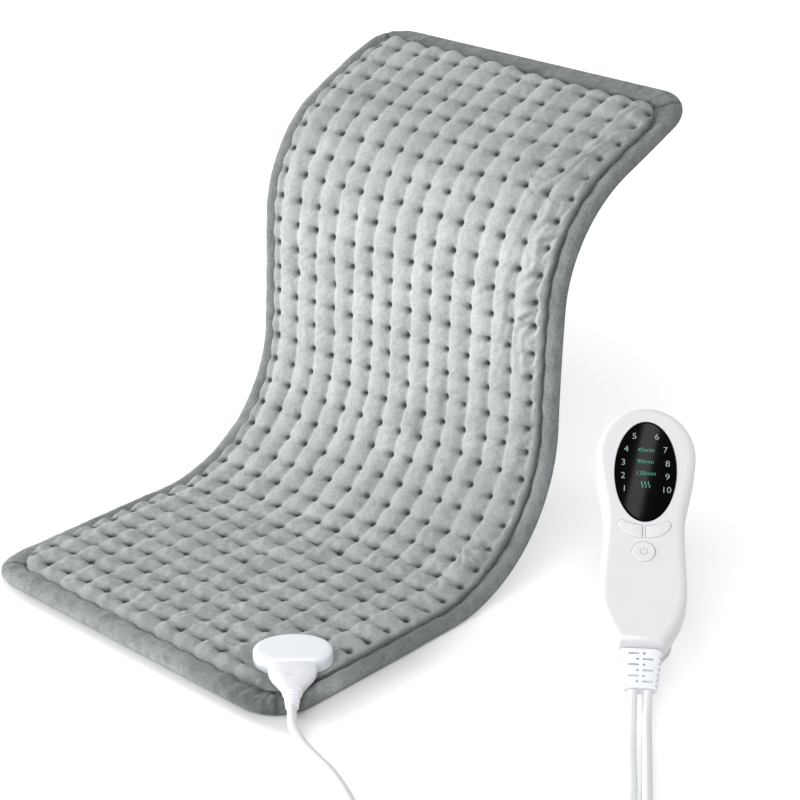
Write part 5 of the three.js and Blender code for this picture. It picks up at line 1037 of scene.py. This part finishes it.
def smooth_line(points, step):
    """A centripetal Catmull-Rom line: cubic pieces whose slopes at each point weigh the two neighbouring
    spans by the square root of their lengths, sampled about every step mm."""
    p = np.asarray(points, float)
    p = np.vstack([2 * p[0] - p[1], p, 2 * p[-1] - p[-2]])
    gap = np.sqrt(np.linalg.norm(np.diff(p, axis=0), axis=1))[:, None]
    d0, d1, d2 = gap[:-2], gap[1:-1], gap[2:]
    p0, p1, p2, p3 = p[:-3], p[1:-2], p[2:-1], p[3:]
    m1 = ((p1 - p0) / d0 - (p2 - p0) / (d0 + d1) + (p2 - p1) / d1) * d1
    m2 = ((p2 - p1) / d1 - (p3 - p1) / (d1 + d2) + (p3 - p2) / d2) * d1
    t = np.linspace(0, 1, 25)[:-1, None, None]
    line = p1 + t * m1 + t ** 2 * (3 * (p2 - p1) - 2 * m1 - m2) + t ** 3 * (2 * (p1 - p2) + m1 + m2)
    line = np.vstack([np.swapaxes(line, 0, 1).reshape(-1, 3), p[-2:-1]])
    far = np.append(0, np.cumsum(np.linalg.norm(np.diff(line, axis=0), axis=1)))
    at = np.linspace(0, far[-1], int(far[-1] / step))
    return np.stack([np.interp(at, far, line[:, k]) for k in range(3)], -1)


def cable(name, line):
    """A round tube along a line that never stands upright: rings square to it, each started at the level
    direction across the line."""
    sides = 16
    way = unit(np.gradient(line, axis=0))
    aside = unit(np.cross(way, [0.0, 0.0, 1.0]))[:, None]
    over = np.cross(aside[:, 0], way)[:, None]
    angle = np.linspace(0, 2 * np.pi, sides, endpoint=False)[:, None]
    return loop_skin(name, line[:, None] + CORD / 2 * (np.cos(angle) * aside + np.sin(angle) * over), 60)


CORD, ON_FLOOR, LAYER, LAYER_PITCH = 6.0, 3.1, 4.25, 6.6
COIL_AT, COIL_RADIUS, COIL_START, COIL_TURN = (-153.0, -107.0), 35.0, np.radians(205), np.radians(815)


def coil_at(t):
    """The coil: a spiral that winds in for the first half of its turn and out for the second, a layer up."""
    t = np.asarray(t, float)
    near = COIL_RADIUS - LAYER_PITCH / (2 * np.pi) * (COIL_TURN / 2 - np.abs(COIL_TURN / 2 - t))
    climb = ease((t - COIL_TURN / 2 + np.pi / 2) / np.pi)
    return np.stack([COIL_AT[0] + near * np.sin(COIL_START + t), COIL_AT[1] + near * np.cos(COIL_START + t),
                     LAYER + LAYER_PITCH * climb], -1)


def coil_end(t, more):
    """A point past the coil's end at t, straight on by more."""
    a, b, z = coil_at(t)
    return [a + more * np.cos(COIL_START + t), b - more * np.sin(COIL_START + t), z]


LEAD_START, LEAD_BENDS_TO = np.array([151.01, -72.87, 12.8]), np.array([48, -21, -9.4])
lead_floor = np.array([
    [0, 0, 12.8], [5.5, -5.5, 12.6], [13, -11.8, 10.4], [24.5, -15.7, 6.6], [39, -18.2, 3.4],
    [54, -22.3, ON_FLOOR], [71, -29.5, ON_FLOOR], [86, -37.3, ON_FLOOR]]) + [LEAD_START[0], LEAD_START[1], 0]
lead_in = [[*coil_end(0, -31)[:2], 3.3], [*coil_end(0, -17)[:2], 3.95], coil_end(0, -7.3), coil_end(0, -7)]
lead_out = [
    coil_end(COIL_TURN, 7), coil_end(COIL_TURN, 7.3), coil_end(COIL_TURN, 16), [-166, -60, 6.8],
    [-151.5, -34.3, ON_FLOOR], [-138, -18.4, ON_FLOOR], [-120, -8.1, ON_FLOOR], [-98, -4.5, ON_FLOOR],
    [-49, -4.5, ON_FLOOR], [-33, -4.5, 3.7], [-24, -4.5, 5.7], [-15, -4.5, 9.4], [-7.6, -4.5, 13.4],
    [-0.254, -4.5, 17.841]]
turns = coil_at(np.linspace(0, COIL_TURN, 55))
pad_line = smooth_line(np.vstack([lead_floor, from_tip(np.vstack([lead_in, turns, lead_out]))]), 1.6)
pad_lead = cable("pad_lead_cable", pad_line)
cord_pvc = moulded("white_pvc_cable_sheath", "E9EBEC", 0.45, texture_mm=1.2)
pad_lead.data.materials.append(cord_pvc)
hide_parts("pad_lead_plug_end", "pad_lead_coil", "pad_lead_hand_end")
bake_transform(pad_lead)


# Mains lead: the same cable from the tongue, along the table and back under the controller to a folded hank
# held by a tie, with its plug lying on top.
SIDE, LOOP_RADIUS, LOOP_AT, LOOP_BACK_AT = 4.5, 24.0, -163.0, -115.0
HANK_START, HANK_LONG, HANK_HALF, HANK_WAIST, HANK_LAYERS, TAIL_UP = 89.6, 112.0, 18.0, 6.0, 5, 43.85
HANK_END, HANK_MIDDLE = HANK_START + HANK_LONG, HANK_START + HANK_LONG / 2
mains_start = [[-0.254, SIDE, 17.841], [-7.6, SIDE, 13.5], [-15, SIDE, 10.6], [-24, SIDE, 9.7],
               [-58.8, SIDE, 9.7], [-131, SIDE, 9.7], [-141, SIDE, 8.0], [-152, SIDE, 4.1]]
spin = np.linspace(np.pi, 2.5 * np.pi, 7)
loop = level(LOOP_AT + LOOP_RADIUS * np.sin(spin), SIDE + LOOP_RADIUS * (1 + np.cos(spin)), ON_FLOOR)
spin = np.arange(1, 4) / 3 * np.pi / 2
bend_back = level(LOOP_BACK_AT - LOOP_RADIUS * np.cos(spin), SIDE + LOOP_RADIUS * (1 - np.sin(spin)),
                  ON_FLOOR)
mains_on = [[-68.6, SIDE, ON_FLOOR], [-19.6, SIDE, ON_FLOOR], [10, SIDE, ON_FLOOR], [34, SIDE, ON_FLOOR],
            [48, 6.1, ON_FLOOR], [60, 10.8, 3.5], [70, 16.6, 4.05], [76.3, HANK_HALF, LAYER],
            [79.3, HANK_HALF, LAYER], [82.3, HANK_HALF, LAYER]]


def hank_run(a, side, layer, climb):
    """One run of the hank: its sides part by a cosine from the waist at the tie to the folds."""
    parting = 0.5 - 0.5 * np.cos(np.pi * np.abs(a - HANK_MIDDLE) / (HANK_LONG / 2))
    beside = HANK_WAIST + (HANK_HALF - HANK_WAIST) * parting
    return np.stack([a, side * beside, LAYER + LAYER_PITCH * (layer + climb)], -1)


k = np.linspace(0, 1, 13)
fold = np.linspace(0, np.pi, 9)[1:-1]
outward, sideways = HANK_HALF * np.sin(fold), HANK_HALF * np.cos(fold)
hank = []
for layer in range(HANK_LAYERS):
    hank += [hank_run(HANK_START + HANK_LONG * k, 1, layer, 0 * k),
             level(HANK_END + outward, sideways, LAYER + LAYER_PITCH * layer),
             hank_run(HANK_END - HANK_LONG * k, -1, layer, ease(k)),
             level(HANK_START - outward, -sideways, LAYER + LAYER_PITCH * (layer + 1))]
hank += [hank_run(HANK_START + HANK_LONG * k, 1, HANK_LAYERS, ease(2 * k - 1))]
step = np.arange(1, 5)
tail_fold = np.stack([214.9 + HANK_HALF * np.sin(step / 4 * np.pi), HANK_HALF * np.cos(step / 4 * np.pi),
                      TAIL_UP + 0.4 * step], -1)
tail = np.vstack([[[208.6, HANK_HALF, TAIL_UP], [214.9, HANK_HALF, TAIL_UP]], tail_fold,
                  [[201.9, -16.4, 47.25], [182.4, -11.5, 51.95], [169.4, -6, 54.15], [160.4, -5, 54.55]]])
mains_line = smooth_line(from_tip(np.vstack([mains_start, loop, bend_back, mains_on, *hank, tail])), 2.0)
mains_lead = cable("mains_lead_cable", mains_line)
mains_lead.data.materials.append(cord_pvc)
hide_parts("mains_lead", "mains_lead_hank", "mains_lead_tail")
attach(mains_lead, "pad")


# Mains plug: a block of white PVC moulded over two flat brass blades, with a grooved strain relief.
# It lies on the hank, behind the controller.
MAINS_WIDE, MAINS_HIGH, MAINS_LONG, MAINS_AT = 24.0, 28.0, 36.0, [[141.8, -5, 54.55]]
BLADE_APART, SLOT_SIDE, BLADE_START, BLADE_END, BLADE_HALF = 6.35, 1.05, -53.0, -28.7, 3.5
in_plug = place(swing, from_tip(MAINS_AT)[0])
share = np.concatenate([np.linspace(0, 0.36, 14), np.linspace(0.4, 0.93, 12), [0.955, 0.975, 0.99, 1.0]])
scale = np.interp(share, [0, 0.12, 0.35, 0.94, 0.98, 1], [0.6, 0.8, 1, 1, 0.98, 0.93])
mains_rings = [soft_ring(MAINS_WIDE * f, MAINS_HIGH * f, -MAINS_LONG * t, 0, 0.5, 80)
               for t, f in zip(share, scale)]
mains_plug = loop_skin("mains_plug_block", in_plug(mains_rings), 45)
blade_slots = [
    block(x - SLOT_SIDE, x + SLOT_SIDE, BLADE_START, BLADE_END, -BLADE_HALF, BLADE_HALF, in_plug)
    for x in (-BLADE_APART, BLADE_APART)]
cut(mains_plug, *blade_slots)
mains_plug.data.materials.append(white_pvc)
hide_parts("mains_plug_body")
to_back = place(swing @ np.diag([-1, -1, 1]), from_tip(MAINS_AT)[0])
mains_relief = grooved_sleeve("mains_relief_sleeve", -0.3, 18, 12, 8, 0, to_back)
mains_relief.data.materials.append(white_pvc)
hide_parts("mains_plug_relief")
for piece in (mains_plug, mains_relief):
    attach(piece, "pad")


# Inner pieces, ties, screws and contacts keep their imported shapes, as they stand in the frame.
# Each gets the finish of what it is made of: stamped brass, plated steel, felt, silicone, phenolic, epoxy,
# coated laminate or nylon.
def metal(name, colour, rough, marks_mm):
    """Turned or stamped metal: tool marks as noise in roughness and bump, drawn coarser than real ones."""
    made, tree = empty_material(name)
    coords = add(tree, "ShaderNodeTexCoord")
    marks = noise(tree, coords, marks_mm, Detail=3.0)
    worn = add(tree, "ShaderNodeMapRange", {0: marks, "To Min": rough - 0.08, "To Max": rough + 0.12})
    bump = add(tree, "ShaderNodeBump", {"Height": marks, "Strength": 0.1, "Distance": 0.1 * MM})
    shader = add(tree, "ShaderNodeBsdfPrincipled", {
        "Base Color": linear(colour), "Metallic": 1.0, "Roughness": worn, "Normal": bump})
    add(tree, "ShaderNodeOutputMaterial", {"Surface": shader})
    return made


finishes = [
    (metal("stamped_brass", "C9A357", 0.3, 0.8), [
        "socket_pin_1", "socket_pin_2", "socket_pin_3", "plug_contact_1", "plug_contact_2", "plug_contact_3",
        "mains_plug_blade_1", "mains_plug_blade_2"]),
    (metal("zinc_plated_steel", "B9BCC0", 0.35, 0.6), [
        "socket_screw_1", "socket_screw_2", "handset_screw_1", "handset_screw_2", "handset_screw_3"]),
    (cool_abs, ["socket_base"]),
    (plush("needled_polyester_felt", "DEDAD0", "CFCBC0", "C0BCB2", 1.6), ["wire_carrier"]),
    (moulded("silicone_wire_sheath", "D9D4CC", 0.5, 1.0), ["heating_wire"]),
    (moulded("phenolic_black_case", "25272A", 0.5, 0.8), [
        "thermal_cutout", "switch_1", "switch_2", "switch_3", "power_switch_chip", "display_module",
        "cord_clamp"]),
    (moulded("green_solder_mask_laminate", "1F5A3A", 0.4, 1.5), ["main_board"]),
    (moulded("cream_epoxy_case", "C9B98F", 0.45, 1.0), ["film_capacitor", "fuse"]),
    (moulded("black_nylon_tie", "1E2022", 0.5, 0.6), ["coil_tie", "hank_tie"])]
for finish, names in finishes:
    for name in names:
        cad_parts[name].material_slots[0].material = finish
